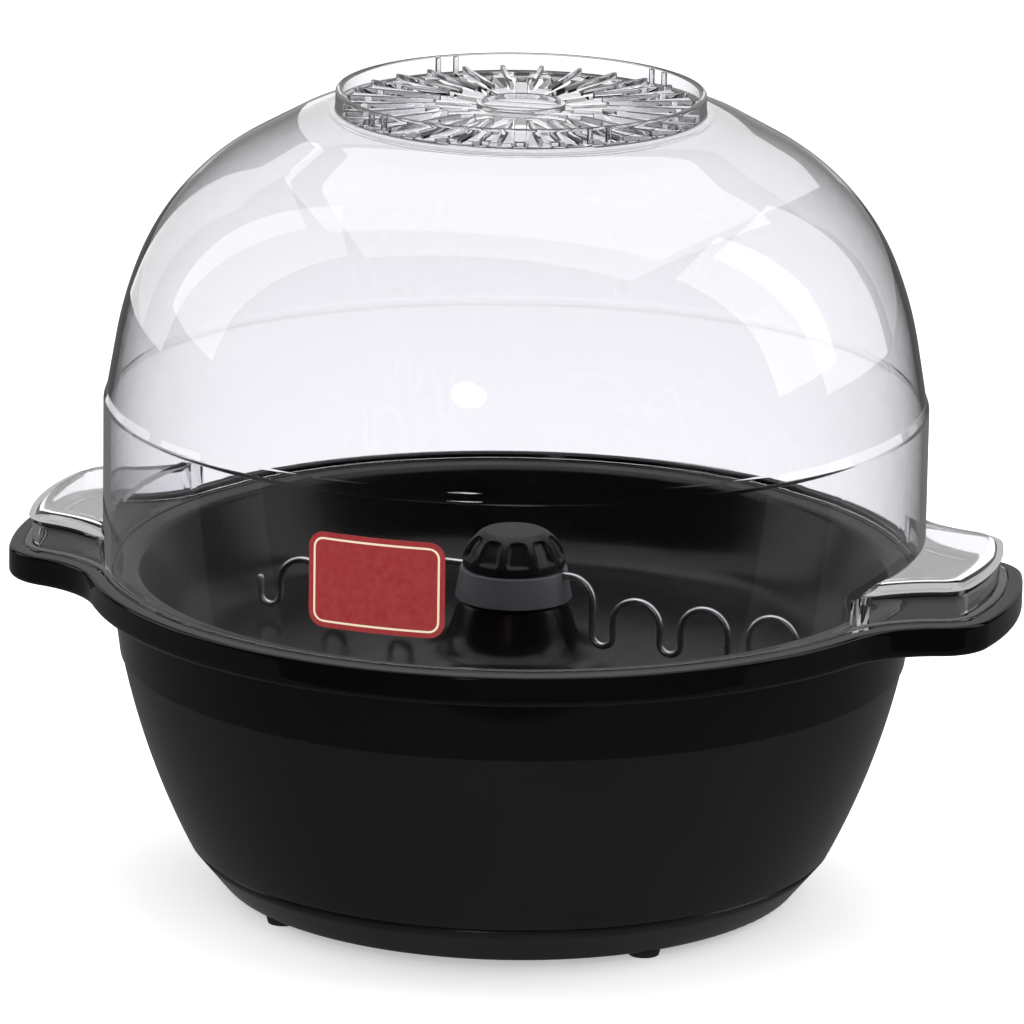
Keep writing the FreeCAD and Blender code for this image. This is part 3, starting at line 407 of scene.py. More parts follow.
def housing_finish(name, colour, low, high, level):
    """Black housing plastic of one gloss, with the faint waves of a large moulding."""
    finish = Finish(name, colour, low, Specular_IOR_Level=level)
    finish.roughness(finish.grain(16.0, 4.0, (1, 1, 2.0), 0.5), low, high)
    finish.tint(finish.grain(9.0, 3.0), [0.8 * c for c in colour], [1.3 * c for c in colour])
    finish.bump(finish.grain(40.0, 2.0), 0.02 * MM, 0.4)
    finish.bump(finish.grain(3000.0, 1.0), 0.001 * MM, 0.4)
    return finish.material


def clear_finish(name, wave, tone, low, high):
    """Clear polished plastic with the faint waves of a thin moulding."""
    finish = Finish(name, tone, 0.015, Transmission_Weight=1.0, IOR=1.55)
    finish.roughness(finish.grain(25.0, 3.0), low, high)
    finish.bump(finish.grain(14.0, 2.0), wave * MM, 0.6)
    finish.bump(finish.grain(60.0, 2.0), 0.1 * wave * MM, 0.5)
    return finish.material


def pan_finish():
    """Non-stick coating: dark, softly glossy, with faint pale grains."""
    finish = Finish("pan coating", (0.006, 0.006, 0.007), 0.24, Specular_IOR_Level=0.25)
    grains = finish.add("ShaderNodeTexVoronoi")
    grains.inputs["Scale"].default_value = 1100.0
    finish.join(finish.place, grains.inputs["Vector"])
    flecks = finish.spread(grains.outputs["Distance"], 1.0, 0.0, 0.05, 0.25)
    finish.tint(flecks, (0.005, 0.005, 0.006), (0.02, 0.02, 0.023), 0.6, 0.95)
    finish.roughness(finish.grain(30.0, 4.0), 0.2, 0.3)
    finish.bump(finish.grain(300.0, 3.0), 0.002 * MM, 0.4)
    return finish.material


def label_finish():
    """Plain dark red film with a thin pale line inside its edge."""
    finish = Finish("label film", (0.3, 0.02, 0.02), 0.35)
    uv = finish.add("ShaderNodeUVMap", uv_map="film")
    parts = finish.add("ShaderNodeSeparateXYZ")
    finish.join(uv.outputs["UV"], parts.inputs["Vector"])
    line = finish.add("ShaderNodeMath", operation="COMPARE")
    line.inputs[1].default_value = 0.13
    line.inputs[2].default_value = 0.022
    finish.join(parts.outputs["X"], line.inputs[0])
    fleck = finish.grain(500.0, 2.0)
    ink = finish.add("ShaderNodeMixRGB")
    ink.inputs["Color1"].default_value = (0.27, 0.012, 0.014, 1)
    ink.inputs["Color2"].default_value = (0.36, 0.03, 0.028, 1)
    finish.join(fleck, ink.inputs["Fac"])
    edge = finish.add("ShaderNodeMixRGB")
    edge.inputs["Color2"].default_value = (0.8, 0.68, 0.5, 1)
    finish.join(line.outputs["Value"], edge.inputs["Fac"])
    finish.join(ink.outputs["Color"], edge.inputs["Color1"])
    finish.join(edge.outputs["Color"], finish.shader.inputs["Base Color"])
    finish.roughness(fleck, 0.28, 0.4)
    finish.bump(fleck, 0.004 * MM, 0.4)
    return finish.material


finishes = {
    "base_black": housing_finish("housing gloss", (0.0022, 0.0022, 0.0022), 0.05, 0.09, 0.2),
    "tray_black": moulded("tray black", (0.009, 0.009, 0.0095), 0.14, 0.24, 0.003, 0.25).material,
    "clear_cover": clear_finish("clear cover", 0.05, (0.845, 0.836, 0.862), 0.008, 0.03),
    "label_film": label_finish(),
    "pan_coating": pan_finish(),
    "collar_grey": moulded("collar grey", (0.1, 0.1, 0.107), 0.4, 0.5, 0.004, 0.4).material,
    "knob_black": moulded("knob black", (0.009, 0.009, 0.0095), 0.34, 0.44, 0.003, 0.4).material,
    "bright_wire": metal("bright wire", (0.85, 0.85, 0.87), 0.26, 0.38, (1, 1, 1), 0.003).material,
    "steel_plain": metal("zinc steel", (0.6, 0.6, 0.6), 0.25, 0.42).material,
    "sheet_metal": metal("rolled sheet", (0.62, 0.62, 0.63), 0.28, 0.45, (1, 12, 1)).material,
    "aluminium_tube": metal("element sheath", (0.4, 0.39, 0.38), 0.35, 0.55).material,
    "brass_parts": metal("turned brass", (0.75, 0.55, 0.27), 0.2, 0.35, (1, 1, 14)).material,
    "copper_wire": metal("copper winding", (0.7, 0.3, 0.14), 0.25, 0.4, (1, 1, 20), 0.08).material,
    "rubber_black": moulded("black rubber", (0.012, 0.012, 0.012), 0.6, 0.75, 0.03, 0.3).material,
    "silicone": moulded("red silicone", (0.35, 0.08, 0.04), 0.45, 0.6, 0.01, 0.4).material,
    "gear_white": moulded("gear plastic", (0.7, 0.7, 0.64), 0.3, 0.42, 0.006).material,
    "case_grey": moulded("case plastic", (0.1, 0.1, 0.105), 0.42, 0.56, 0.02).material,
    "magnet_dark": metal("ferrite", (0.09, 0.09, 0.1), 0.45, 0.6).material,
    "lead_sleeve": moulded("lead sleeve", (0.66, 0.66, 0.6), 0.5, 0.62, 0.03).material,
    "terminal_cream": moulded("terminal plastic", (0.62, 0.57, 0.44), 0.38, 0.5, 0.008).material,
    "ceramic_white": moulded("ceramic", (0.72, 0.72, 0.68), 0.35, 0.5, 0.01).material,
}
node_slot = {part["node"]: part["material_slot"] for part in frame["record"]["subparts"]}
for node, thing in frame["nodes"].items():
    thing.data.materials.clear()
    thing.data.materials.append(finishes[node_slot[node]])
    for polygon in thing.data.polygons:
        polygon.material_index = 0


# ---- black housing ----
def housing_section():
    """Closed section of the housing: bowl, neck, hollow rim, deck and the ledge inside."""
    foot, middle, top = 103.6 * MM, 116.6 * MM, 125.0 * MM
    wall, deck, rebate, ledge = 2.5 * MM, 2.4 * MM, 4.5 * MM, 122.0 * MM
    half_z = (seam_z + neck_z) / 2
    neck_top = 129.3 * MM
    neck_low = top + 0.5 * MM
    bowl = arc_through((foot, seam_z), (middle, half_z), (top, neck_z), 36)
    inside = arc_through((top - wall, neck_z), (middle - wall, half_z), (foot - wall, seam_z), 24)
    gasket_z = lip_top - 3.0 * MM
    deck_under = flange_bottom - deck
    near = [(foot - 0.4 * MM, seam_z, "round"), (foot - 0.1 * MM, seam_z + 0.1 * MM, "round")]
    near += [(r, z, "round") for r, z in bowl[1:-1]]
    corners = [(*bowl[-2], 0, "round"),
               (top, neck_z - 0.05 * MM, 0.0, "round"),
               (neck_low, neck_z, 0.2 * MM, "round"),
               (neck_top - 0.2 * MM, deck_under, 0.6 * MM, "round"),
               (rim_radius - wall, deck_under, 0.4 * MM, "plan"),
               (rim_radius - wall, rim_z, 0.12 * MM, "plan"),
               (rim_radius, rim_z, 2.2 * MM, "plan"),
               (rim_radius, rim_top, 1.0 * MM, "plan"),
               (rim_radius - rebate, rim_top, 0.3 * MM, "plan"),
               (rim_radius - rebate, flange_bottom, 0.2 * MM, "plan"),
               (seat_radius, flange_bottom, 0.3 * MM, "round"),
               (seat_radius, gasket_z, 0.2 * MM, "round"),
               (ledge, gasket_z, 0.3 * MM, "round"),
               (ledge, gasket_z - wall, 0.3 * MM, "round"),
               (neck_top - wall, gasket_z - wall, 0.3 * MM, "round"),
               (*inside[0], 0, "round")]
    return near + rounded(corners)[1:] + [(r, z, "round") for r, z in inside[1:]]


housing = moulding("housing_shell", housing_section(), finishes["base_black"], 40.0)
housing.data.materials.append(housing_finish("housing satin", (0.005, 0.005, 0.005), 0.17, 0.23, 0.3))
for polygon in housing.data.polygons:
    polygon.material_index = 1 if polygon.center.z < neck_z - 0.02 * MM else 0
fit(housing, "base", "base_black", "base_housing")


def soft_block(name, low, high, edge, material, turn=0.0):
    """Block with rounded edges between two corners, turned about Z."""
    form = bmesh.new()
    bmesh.ops.create_cube(form, size=1.0)
    low, high = Vector(low), Vector(high)
    for vertex in form.verts:
        vertex.co = Vector(low[i] + (vertex.co[i] + 0.5) * (high[i] - low[i]) for i in range(3))
    bmesh.ops.bevel(form, geom=form.edges[:], offset=edge, segments=3, profile=0.5, affect="EDGES")
    bmesh.ops.rotate(form, verts=form.verts, cent=(0, 0, 0), matrix=Matrix.Rotation(turn, 3, "Z"))
    points = [vertex.co.copy() for vertex in form.verts]
    faces = [tuple(vertex.index for vertex in face.verts) for face in form.faces]
    form.free()
    return make_piece(name, points, faces, material, 25.0)


def joined(name, pieces):
    """Several pieces made one."""
    form = bmesh.new()
    for piece in pieces:
        form.from_mesh(piece.data)
    mesh = bpy.data.meshes.new(name)
    form.to_mesh(mesh)
    form.free()
    mesh.materials.append(pieces[0].data.materials[0])
    for piece in pieces:
        bpy.data.objects.remove(piece)
    whole = bpy.data.objects.new(name, mesh)
    bpy.context.scene.collection.objects.link(whole)
    return whole


ribs = []
for side in (-1, 1):
    for place in (-26.0 * MM, 0.0, 26.0 * MM):
        tip_gap = (4.0 if place else 1.5) * MM
        ends = sorted((side * (rim_radius - 10.0 * MM), side * (handle_reach - tip_gap)))
        low, high = (ends[0], place - MM, rim_z + 2.5 * MM), (ends[1], place + MM, flange_bottom - 1.2 * MM)
        ribs.append(soft_block("rib", low, high, 0.3 * MM, finishes["base_black"]))
fit(joined("handle_ribs", ribs), "base", "base_black", "base_housing")

# ---- inlet pad and cord gland at the back ----
gland_low, gland_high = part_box("cord_gland")
inlet_z = (gland_low.z + gland_high.z) / 2
head_half = (gland_high.x - gland_low.x) / 2
inlet_face = gland_high.y - 2.0 * MM


def square_tube(name, outer, inner, start, end, corner, material):
    """Square frame along Y with rounded corners and a hole through it."""
    def loop(half, bend, y):
        ring = []
        for quarter in range(4):
            cx = (half - bend) * (1 if quarter in (0, 3) else -1)
            cz = (half - bend) * (1 if quarter in (0, 1) else -1)
            corner_arc = arc((cx, cz), bend, 90 * quarter, 90 * quarter + 90, 6)
            ring += [(x, y, inlet_z + z) for x, z in corner_arc]
        return ring
    points = 28
    angles = [TURN * (step + 0.5) / points for step in range(points)]
    hole = [(inner * math.cos(angle), inner * math.sin(angle)) for angle in angles]
    soft = 0.35 * MM
    rings = [loop(outer - soft, corner, start), loop(outer, corner, start + soft),
             loop(outer, corner, end - soft), loop(outer - 0.3 * soft, corner, end - 0.3 * soft),
             loop(outer - soft, corner, end)]
    for y, grow in ((end, soft), (end - 0.3 * soft, 0.3 * soft), (end - soft, 0.0), (start, 0.0)):
        rings.append([(x * (1 + grow / inner), y, inlet_z + z * (1 + grow / inner)) for x, z in hole])
    return make_piece(name, *skin(rings), material, 40.0)


pad = square_tube("inlet_pad", 10.0 * MM, 8.9 * MM, inlet_face - 9.0 * MM, inlet_face, 2.0 * MM,
                  finishes["base_black"])
fit(pad, "base", "base_black", "base_housing")
gland_head = square_tube("gland_head", head_half, 3.6 * MM, inlet_face - 4.0 * MM, gland_high.y, 1.5 * MM,
                         finishes["rubber_black"])
fit(gland_head, "base", "rubber_black", "cord_gland")

# ---- bottom tray, screws and feet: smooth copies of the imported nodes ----
for node, name in (("bottom_tray", "tray_moulding"), ("rubber_feet", "foot_pads"),
                   ("tray_screws", "cross_screws")):
    fit(merged_copy(node, name, finishes[node_slot[node]]), "base", node_slot[node], node)

# ---- kettle ----
cone = [(5.0 * MM, cone_top, 0, ""), (17.0 * MM, cone_top, 2.5 * MM, ""), (22.5 * MM, floor_z, 10.0 * MM, ""),
        (106.0 * MM, floor_z, 20.0 * MM, ""), (120.0 * MM, lip_top, 3.2 * MM, ""),
        (seat_radius - 0.4 * MM, lip_top, 0, "")]
kettle = turned("kettle_pan", sheet(cone, 2.0 * MM, 10), finishes["pan_coating"], 200, 40.0)
fit(kettle, "base", "pan_coating", "kettle")

# ---- collar, wire and knob ----
collar = merged_copy("stir_collar", "collar_moulding", finishes["collar_grey"], 25.0)
fit(collar, "stirrer", "collar_grey", "stir_collar")

wire_radius = 1.1 * MM
wire_angle = math.radians(-9.0)
groove_z = collar_high.z - 2.4 * MM
wire_z = groove_z + wire_radius + 0.15 * MM
valley_bend, peak_bend = 3.5 * MM, 8.0 * MM
valley_z = floor_z + 3.9 * MM + valley_bend
peak_z = floor_z + 20.0 * MM - peak_bend


def wire_arm(first_valley, valleys, tail):
    """Half of the stirring wire in its own upright plane, as (distance out, height)."""
    x = first_valley * MM
    points = arc((x - valley_bend - peak_bend, wire_z - peak_bend), peak_bend, 90, 0, 12)
    for count in range(valleys):
        points += arc((x, valley_z), valley_bend, 180, 360, 14)
        if count < valleys - 1:
            points += arc((x + valley_bend + peak_bend, peak_z), peak_bend, 180, 0, 22)
            x += 2 * (valley_bend + peak_bend)
    last = x + valley_bend
    if tail:
        points += arc((last + peak_bend, peak_z), peak_bend, 180, 30, 20)
        end = points[-1]
        points.append((end[0] + 1.75 * MM, end[1] - 3.03 * MM))
    else:
        points.append((last, valley_z + 5.0 * MM))
    return points


eye, eye_bend = 5.4 * MM, 3.0 * MM
away = math.sqrt((eye + eye_bend) ** 2 - eye_bend ** 2)
lean = math.degrees(math.atan2(eye_bend, away))
loop = arc((-away, eye_bend), eye_bend, -90, -lean, 6) + arc((0, 0), eye, 180 - lean, lean, 24)[1:]
loop += arc((away, eye_bend), eye_bend, 180 + lean, 270, 6)[1:]
wire_path = [Vector((-x, 0, z)) for x, z in reversed(wire_arm(39.0, 3, False))]
wire_path += [Vector((x, y, wire_z)) for x, y in loop]
wire_path += [Vector((x, 0, z)) for x, z in wire_arm(30.8, 3, True)]
wire_path = [p for p, q in zip(wire_path, wire_path[1:] + [Vector()]) if (p - q).length > 0.02 * MM]
wire_path = [Matrix.Rotation(wire_angle, 3, "Z") @ p for p in wire_path]
wire = swept("stirring_wire", wire_path, wire_radius, finishes["bright_wire"])
fit(wire, "stirrer", "bright_wire", "stir_wire")


def knob_piece():
    """Domed knob with a ring of soft rectangular finger dimples."""
    bottom, top = knob_low.z, knob_high.z
    height = top - bottom
    radius, flat = 16.4 * MM, 9.6 * MM
    side = arc_through((radius, bottom + 2.6 * MM), (radius - 2.4 * MM, bottom + 8.0 * MM), (flat, top), 34)
    section = [(0.02 * MM, bottom), (10.0 * MM, bottom),
               (radius - 1.0 * MM, bottom), (radius - 0.5 * MM, bottom),
               (radius - 0.15 * MM, bottom + 0.25 * MM), (radius, bottom + 0.8 * MM)] + side
    section += [(flat - 0.5 * MM, top), (flat - 1.5 * MM, top), (4.0 * MM, top), (0.02 * MM, top)]
    sides = 400
    rings = []
    for step in range(sides):
        angle = TURN * step / sides
        across = abs((angle / TURN * knob_dimples + 0.5) % 1.0 - 0.5) * 2
        ring = []
        for r, z in section:
            up = abs((z - bottom) / height - 0.56) / 0.34
            depth = max(0.0, 1.0 - (across / 0.8) ** 4 - up ** 4)
            on_side = r > flat - 0.2 * MM and z > bottom + 1.0 * MM
            depth = depth ** 0.8 * 1.9 * MM if on_side else 0.0
            ring.append(((r - depth) * math.cos(angle), (r - depth) * math.sin(angle), z - 0.25 * depth))
        rings.append(ring)
    return make_piece("finger_knob", *skin(rings), finishes["knob_black"], 60.0)


fit(knob_piece(), "knob", "knob_black", "stir_knob")

# ---- clear cover ----
ledge_z = flange_top + 52.0 * MM
dome_z = ledge_z + 3.0 * MM
ring_radius = 58.4 * MM
ring_wall = 2.1 * MM
ring_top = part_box("vent_well")[1].z
well_floor = ring_top - 5.8 * MM
ear_top = flange_top + 11.0 * MM
flange_edge = rim_radius - flange_inset
ear_edge = flange_edge - 2.5 * MM
pocket_edge = ear_edge - clear_wall
pocket_top = ear_top - clear_wall
mouth = (ring_radius + 0.05 * MM, dome_z + 90.9 * MM)


def cover_section():
    """Closed section of the clear cover, up the outside and back down the inside."""
    foot = [(skirt_radius - clear_wall, flange_bottom, 0, "round"),
            (skirt_radius, flange_bottom, 0, "round")]
    pocket = rounded([(skirt_radius, pocket_top - 1.0 * MM, 0, "pocket root"),
                      (skirt_radius, pocket_top, 0, "pocket root"),
                      (pocket_edge, pocket_top, 3.0 * MM, "pocket"),
                      (pocket_edge, flange_bottom, 0, "pocket")], 5)
    rim = rounded([(pocket_edge, flange_bottom, 0, "pocket"), (flange_edge, flange_bottom, 0.35 * MM, "plan"),
                   (flange_edge, flange_top, 0.5 * MM, "plan"), (ear_edge, flange_top, 0, "ear"),
                   (ear_edge, ear_top, 5.0 * MM, "ear"),
                   (ear_edge - 9.0 * MM, ear_top, 0, "ear")], 7)
    outside = [(skirt_radius, ear_top, 0, "round"), (skirt_radius, ledge_z, 4.0 * MM, "round"),
               (skirt_radius - 1.1 * MM, dome_z, 4.2 * MM, "round"),
               (125.0 * MM, dome_z + 28.4 * MM, 120.0 * MM, "round"),
               (110.5 * MM, dome_z + 65.4 * MM, 75.0 * MM, "round"),
               (68.0 * MM, dome_z + 89.1 * MM, 40.0 * MM, "round"), (*mouth, 0, "round")]
    inside = offset_corners(outside, -clear_wall)
    section = [corner[:2] + corner[3:] for corner in foot] + pocket[1:] + rim[1:]
    return section + rounded(outside, 26) + rounded(inside, 26)[::-1]


cover = moulding("cover_moulding", cover_section(), finishes["clear_cover"], 28.0)
cover.visible_shadow = False
cover.visible_glossy = False
fit(cover, "cover", "clear_cover", "dome_cover")

# ---- vented well in the cover's mouth ----
long_slot, short_slot, slot_end, slot_half = 16.0 * MM, 31.0 * MM, 48.0 * MM, 1.8 * MM
edge_slot, edge_slot_end, edge_slot_half = 50.0 * MM, 55.5 * MM, 2.5 * MM


def well_plate():
    """Floor of the well with its long, short and edge slots, from a filled flat outline."""
    outline = bpy.data.curves.new("plate", "CURVE")
    outline.dimensions = "2D"
    outline.fill_mode = "BOTH"
    thickness, soft = clear_wall, 0.25 * MM
    outline.extrude = thickness / 2 - soft
    outline.bevel_depth = soft
    outline.bevel_resolution = 1

    def add(points):
        line = outline.splines.new("POLY")
        line.points.add(len(points) - 1)
        for place, (x, y) in zip(line.points, points):
            place.co = (x, y, 0, 1)
        line.use_cyclic_u = True

    add(arc((0, 0), ring_radius - ring_wall - soft - 0.02 * MM, 0, 360, 168)[:-1])
    for count in range(slot_count):
        start = short_slot if count % 2 else long_slot
        spin = Matrix.Rotation(slot_step * count, 2)
        for low, high, half in ((start, slot_end, slot_half + soft),
                                (edge_slot, edge_slot_end, edge_slot_half + soft)):
            low, high, bend = low - soft, min(high + soft, edge_slot_end), 1.2 * MM
            hole = []
            for corner, (cx, cy) in enumerate(((high - bend, half - bend), (low + bend, half - bend),
                                               (low + bend, bend - half), (high - bend, bend - half))):
                hole += arc((cx, cy), bend, 90 * corner, 90 * corner + 90, 4)
            add([tuple(spin @ Vector(p)) for p in reversed(hole)])
    flat = bpy.data.objects.new("plate", outline)
    bpy.context.scene.collection.objects.link(flat)
    graph = bpy.context.evaluated_depsgraph_get()
    mesh = bpy.data.meshes.new_from_object(flat.evaluated_get(graph))
    bpy.data.objects.remove(flat)
    points = [(v.co.x, v.co.y, v.co.z + well_floor - thickness / 2) for v in mesh.vertices]
    faces = [tuple(f.vertices) for f in mesh.polygons]
    return make_piece("well_plate", points, faces, finishes["clear_cover"], 25.0)


def fin_tree(count, start, material):
    """Geometry nodes: one fin repeated round the axis."""
    tree = bpy.data.node_groups.new("well fins", "GeometryNodeTree")
    tree.interface.new_socket("Geometry", in_out="INPUT", socket_type="NodeSocketGeometry")
    number = tree.interface.new_socket("Fin count", in_out="INPUT", socket_type="NodeSocketInt")
    radius = tree.interface.new_socket("Circle radius", in_out="INPUT", socket_type="NodeSocketFloat")
    tree.interface.new_socket("Geometry", in_out="OUTPUT", socket_type="NodeSocketGeometry")
    number.default_value = count
    radius.default_value = start
    source = tree.nodes.new("NodeGroupInput")
    circle = tree.nodes.new("GeometryNodeMeshCircle")
    tree.links.new(source.outputs["Fin count"], circle.inputs["Vertices"])
    tree.links.new(source.outputs["Circle radius"], circle.inputs["Radius"])
    place = tree.nodes.new("GeometryNodeInputPosition")
    bearing = tree.nodes.new("FunctionNodeAlignRotationToVector")
    bearing.axis = "X"
    bearing.pivot_axis = "Z"
    tree.links.new(place.outputs["Position"], bearing.inputs["Vector"])
    copies = tree.nodes.new("GeometryNodeInstanceOnPoints")
    tree.links.new(circle.outputs["Mesh"], copies.inputs["Points"])
    tree.links.new(source.outputs["Geometry"], copies.inputs["Instance"])
    tree.links.new(bearing.outputs["Rotation"], copies.inputs["Rotation"])
    whole = tree.nodes.new("GeometryNodeRealizeInstances")
    tree.links.new(copies.outputs["Instances"], whole.inputs["Geometry"])
    coat = tree.nodes.new("GeometryNodeSetMaterial")
    coat.inputs["Material"].default_value = material
    tree.links.new(whole.outputs["Geometry"], coat.inputs["Geometry"])
    sink = tree.nodes.new("NodeGroupOutput")
    tree.links.new(coat.outputs["Geometry"], sink.inputs["Geometry"])
    return tree, number.identifier, radius.identifier


def repeated(name, unit, count, start, material, turn=0.0):
    """Mesh of a unit piece repeated round the axis by geometry nodes."""
    tree, number, radius = fin_tree(count, start, material)
    step = unit.modifiers.new("round the axis", "NODES")
    step.node_group = tree
    step[number] = count
    step[radius] = start
    graph = bpy.context.evaluated_depsgraph_get()
    mesh = bpy.data.meshes.new_from_object(unit.evaluated_get(graph))
    bpy.data.objects.remove(unit)
    mesh.name = name
    mesh.transform(Matrix.Rotation(turn, 4, "Z"))
    piece = bpy.data.objects.new(name, mesh)
    bpy.context.scene.collection.objects.link(piece)
    return piece


fin_start, fin_end = 27.0 * MM, ring_radius - ring_wall - 0.1 * MM
fin = soft_block("fin", (0, -0.7 * MM, well_floor + 0.02 * MM),
                 (fin_end - fin_start, 0.7 * MM, well_floor + 2.0 * MM), 0.3 * MM, finishes["clear_cover"])
fins = repeated("well_fins", fin, slot_count, fin_start, finishes["clear_cover"], slot_step / 2)
hub = turned("well_hub", rounded([(12.4 * MM, well_floor + 0.02 * MM, 0.3 * MM, ""),
                                  (14.0 * MM, well_floor + 0.02 * MM, 0.3 * MM, ""),
                                  (14.0 * MM, well_floor + 2.0 * MM, 0.5 * MM, ""),
                                  (12.4 * MM, well_floor + 2.0 * MM, 0.5 * MM, "")], 4, True),
             finishes["clear_cover"], 96)
posts = []
for bearing in (-51.5, 51.5, 128.5, -128.5):
    for side in (-3.2, 3.2):
        low = (ring_radius - ring_wall - 1.4 * MM, -0.8 * MM, well_floor + 0.02 * MM)
        high = (ring_radius - ring_wall - 0.02 * MM, 0.8 * MM, ring_top - 0.3 * MM)
        posts.append(soft_block("post", low, high, 0.3 * MM, finishes["clear_cover"],
                                math.radians(bearing + side)))
lip_low = well_floor - clear_wall - 1.6 * MM
ring = turned("well_ring", rounded([(ring_radius - ring_wall, lip_low, 0.3 * MM, ""),
                                    (ring_radius + 1.8 * MM, lip_low, 0.3 * MM, ""),
                                    (ring_radius + 1.8 * MM, lip_low + 1.2 * MM, 0.3 * MM, ""),
                                    (ring_radius, lip_low + 1.2 * MM, 0.15 * MM, ""),
                                    (ring_radius, ring_top, 0.8 * MM, ""),
                                    (ring_radius - ring_wall, ring_top, 0.8 * MM, "")], 6, True),
              finishes["clear_cover"], 224, 50.0)
well_pieces = [well_plate(), fins, hub, joined("well_posts", posts), ring]
for piece in well_pieces:
    piece.visible_shadow = False
    piece.visible_glossy = False
    fit(piece, "cover", "clear_cover", "vent_well")


def place_on_skirt(across, up, lift):
    """Point on the skirt's outside, from the film's middle."""
    angle = label_azimuth + across / skirt_radius
    reach = skirt_radius + lift
    return (reach * math.cos(angle), reach * math.sin(angle), (label_low.z + label_high.z) / 2 + up)


def label_piece():
    """Thin film wrapped on the skirt, a rounded rectangle."""
    out_x, out_y = label_width / 2, label_height / 2
    in_x, in_y = out_x - label_bend, out_y - label_bend
    starts = [(in_x, out_y), (-out_x, in_y), (-in_x, -out_y), (out_x, -in_y)]
    ends = [(-in_x, out_y), (-out_x, -in_y), (in_x, -out_y), (out_x, in_y)]
    outline = []
    for quarter, (first, last) in enumerate(zip(starts, ends)):
        cx = in_x * (1 if quarter in (0, 3) else -1)
        cy = in_y * (1 if quarter in (0, 1) else -1)
        outline += arc((cx, cy), label_bend, 90 * quarter, 90 * quarter + 90, 8)[:-1]
        first = (cx, first[1]) if quarter in (0, 2) else (first[0], cy)
        steps = 16 if quarter in (0, 2) else 8
        outline += [(first[0] + (last[0] - first[0]) * k / steps, first[1] + (last[1] - first[1]) * k / steps)
                    for k in range(steps)]
    rows, thickness, back = 14, 0.3 * MM, 0.04 * MM
    spread = [(1.0, back), (1.0, 0.25 * MM), (0.985, thickness)]
    spread += [(0.97 * (1 - row / (rows - 1)) + 0.002, thickness) for row in range(rows)]
    spread += [(shrink, back) for shrink in (0.002, 0.5, 0.97)]
    rings = [[place_on_skirt(x * shrink, y * shrink, lift) for x, y in outline] for shrink, lift in spread]
    return make_piece("cover_film", *skin(rings), finishes["label_film"], 50.0)


def film_coordinates(piece):
    """Distance in from the film's edge as its own coordinates, 0 at the edge and 1 in the middle."""
    layer = piece.data.uv_layers.new(name="film")
    half_width, half_height = label_width / 2 - label_bend, label_height / 2 - label_bend
    middle = (label_low.z + label_high.z) / 2
    for corner in piece.data.loops:
        place = piece.data.vertices[corner.vertex_index].co
        across = (math.atan2(place.y, place.x) - label_azimuth) * skirt_radius
        up = place.z - middle
        out_x = max(abs(across) - half_width, 0.0)
        out_y = max(abs(up) - half_height, 0.0)
        inner = min(half_width - abs(across), half_height - abs(up))
        depth = label_bend - math.hypot(out_x, out_y) + max(min(inner, half_height), 0.0)
        layer.data[corner.index].uv = (depth / (label_height / 2), 0.0)


film = label_piece()
film_coordinates(film)
fit(film, "cover", "label_film", "cover_label")

# ---- floor, light and camera ----
facing = math.radians(13.0)


def studio_card(name, corners, material, **shown):
    """Flat sheet of the studio through four corners, turned to the front."""
    mesh = bpy.data.meshes.new(name)
    spin = Matrix.Rotation(facing, 3, "Z")
    mesh.from_pydata([spin @ Vector(corner) for corner in corners], [], [(0, 1, 2, 3)])
    mesh.materials.append(material)
    card = bpy.data.objects.new(name, mesh)
    bpy.context.scene.collection.objects.link(card)
    for ray in ("camera", "diffuse", "glossy", "transmission", "shadow"):
        setattr(card, "visible_" + ray, shown.get(ray, False))
    return card


def white_card(strength):
    """Bright card that only shows as a reflection."""
    material = bpy.data.materials.new("white card")
    material.use_nodes = True
    tree = material.node_tree
    tree.nodes.remove(tree.nodes["Principled BSDF"])
    glow = tree.nodes.new("ShaderNodeEmission")
    glow.inputs["Strength"].default_value = strength
    tree.links.new(glow.outputs["Emission"], tree.nodes["Material Output"].inputs["Surface"])
    return material


# Pale floor with a painted glow: its emission is brightest round the object (0.42 within 0.2 m of the middle,
# falling to 0.12 at 1 m), painted light that lifts the object's shadow on the floor.
floor_and_painted_glow = Finish("pale floor with painted glow", (0.9, 0.9, 0.9), 0.9, Emission_Color=(1, 1, 1, 1))
floor_and_painted_glow.bump(floor_and_painted_glow.grain(40.0, 2.0), 0.05 * MM, 0.2)
reach = floor_and_painted_glow.add("ShaderNodeVectorMath", operation="LENGTH")
floor_and_painted_glow.join(floor_and_painted_glow.place, reach.inputs[0])
floor_and_painted_glow.join(floor_and_painted_glow.spread(reach.outputs["Value"], 0.42, 0.12, 0.2, 1.0),
                  floor_and_painted_glow.shader.inputs["Emission Strength"])
studio_card("studio_floor", [(-9, -9, 0), (9, -9, 0), (9, 9, 0), (-9, 9, 0)], floor_and_painted_glow.material,
            camera=True, diffuse=True, transmission=True, shadow=True)
half_card, card_front, card_back, card_top = 2.5, -0.27, 2.6, 2.2
studio_card("floor_glow", [(-half_card, card_front, 0), (half_card, card_front, 0),
                           (half_card, card_back, 0), (-half_card, card_back, 0)],
            white_card(0.16), glossy=True)
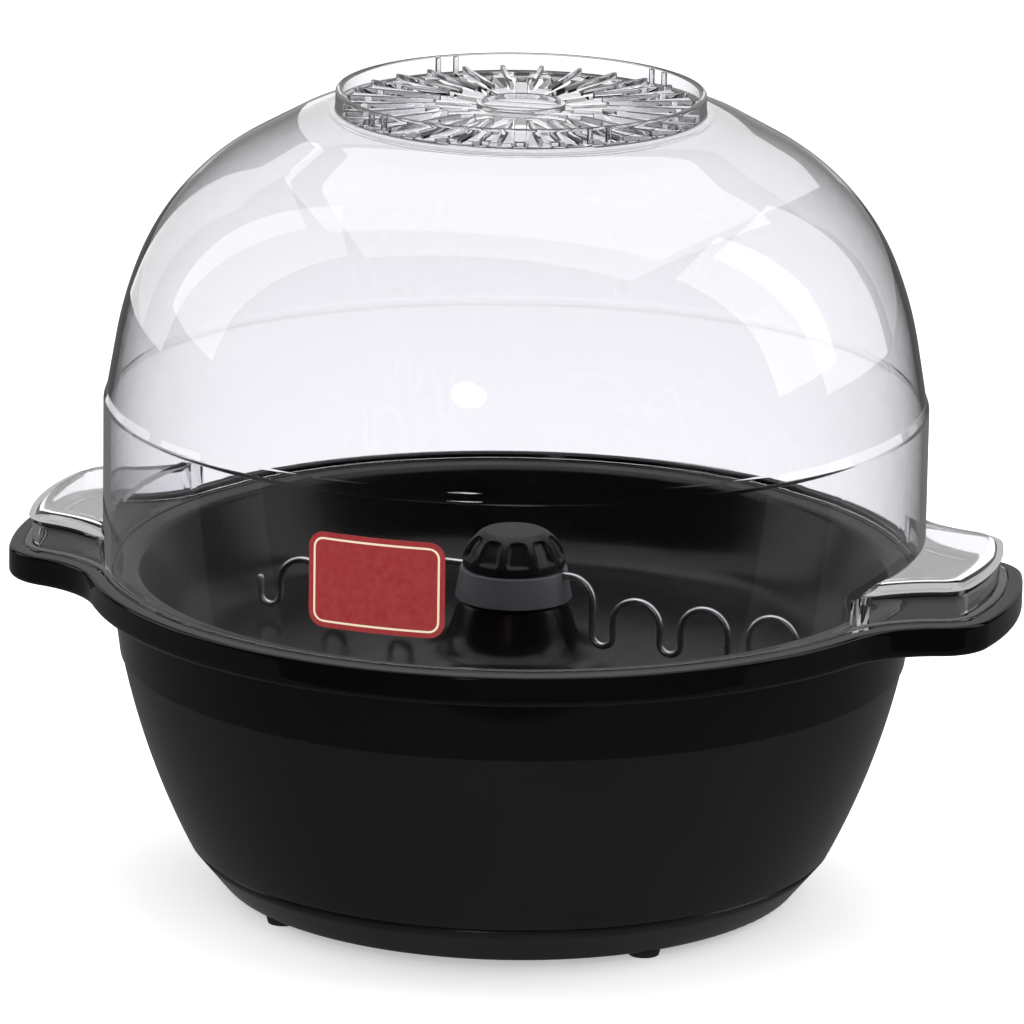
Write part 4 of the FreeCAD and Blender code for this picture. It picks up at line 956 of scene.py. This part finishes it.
studio_card("back_glow", [(-half_card, card_back, 0), (half_card, card_back, 0),
                          (half_card, card_back, card_top), (-half_card, card_back, card_top)],
            white_card(0.5), glossy=True)

world = bpy.data.worlds.new("studio")
world.use_nodes = True
world.node_tree.nodes["Background"].inputs["Color"].default_value = (1.0, 1.0, 1.0, 1.0)
world.node_tree.nodes["Background"].inputs["Strength"].default_value = 0.86
world.cycles_visibility.glossy = False
bpy.context.scene.world = world


def soft_light(name, place, aim, width, height, power, shape="RECTANGLE"):
    """Area light at a place, turned to a point."""
    data = bpy.data.lights.new(name, "AREA")
    data.shape = shape
    data.size = width
    if shape == "RECTANGLE":
        data.size_y = height
    data.energy = power
    lamp = bpy.data.objects.new(name, data)
    lamp.location = place
    lamp.rotation_euler = (Vector(aim) - Vector(place)).to_track_quat("-Z", "Y").to_euler()
    bpy.context.scene.collection.objects.link(lamp)
    return lamp


middle = (0, 0, 0.12)
soft_light("overhead", (0.0, 0.6, 2.4), (0, 0, 0.1), 3.0, 2.6, 36)
soft_light("left", (-2.0, 0.2, 1.4), middle, 1.2, 2.2, 12)
soft_light("right", (2.1, 0.5, 1.4), middle, 1.2, 2.2, 16)
soft_light("front", (0.05, -2.6, 0.95), (0, 0, 0.15), 0.3, 0.3, 2, "DISK")

camera_distance, camera_height = 2.4318, 0.7785
look_down, look_aside, look_roll = math.radians(15.10), math.radians(0.02), math.radians(0.9)
camera_data = bpy.data.cameras.new("camera")
camera_data.sensor_width = 36.0
camera_data.lens = 277.9
camera = bpy.data.objects.new("camera", camera_data)
camera.location = (camera_distance * math.sin(facing), -camera_distance * math.cos(facing), camera_height)
heading = Matrix.Rotation(facing + look_aside, 3, "Z")
tilt = Matrix.Rotation(math.radians(90.0) - look_down, 3, "X")
roll = Matrix.Rotation(look_roll, 3, "Z")
camera.matrix_world = Matrix.Translation(camera.location) @ (heading @ tilt @ roll).to_4x4()
bpy.context.scene.collection.objects.link(camera)
bpy.context.scene.camera = camera
bpy.context.scene.view_settings.view_transform = "Standard"
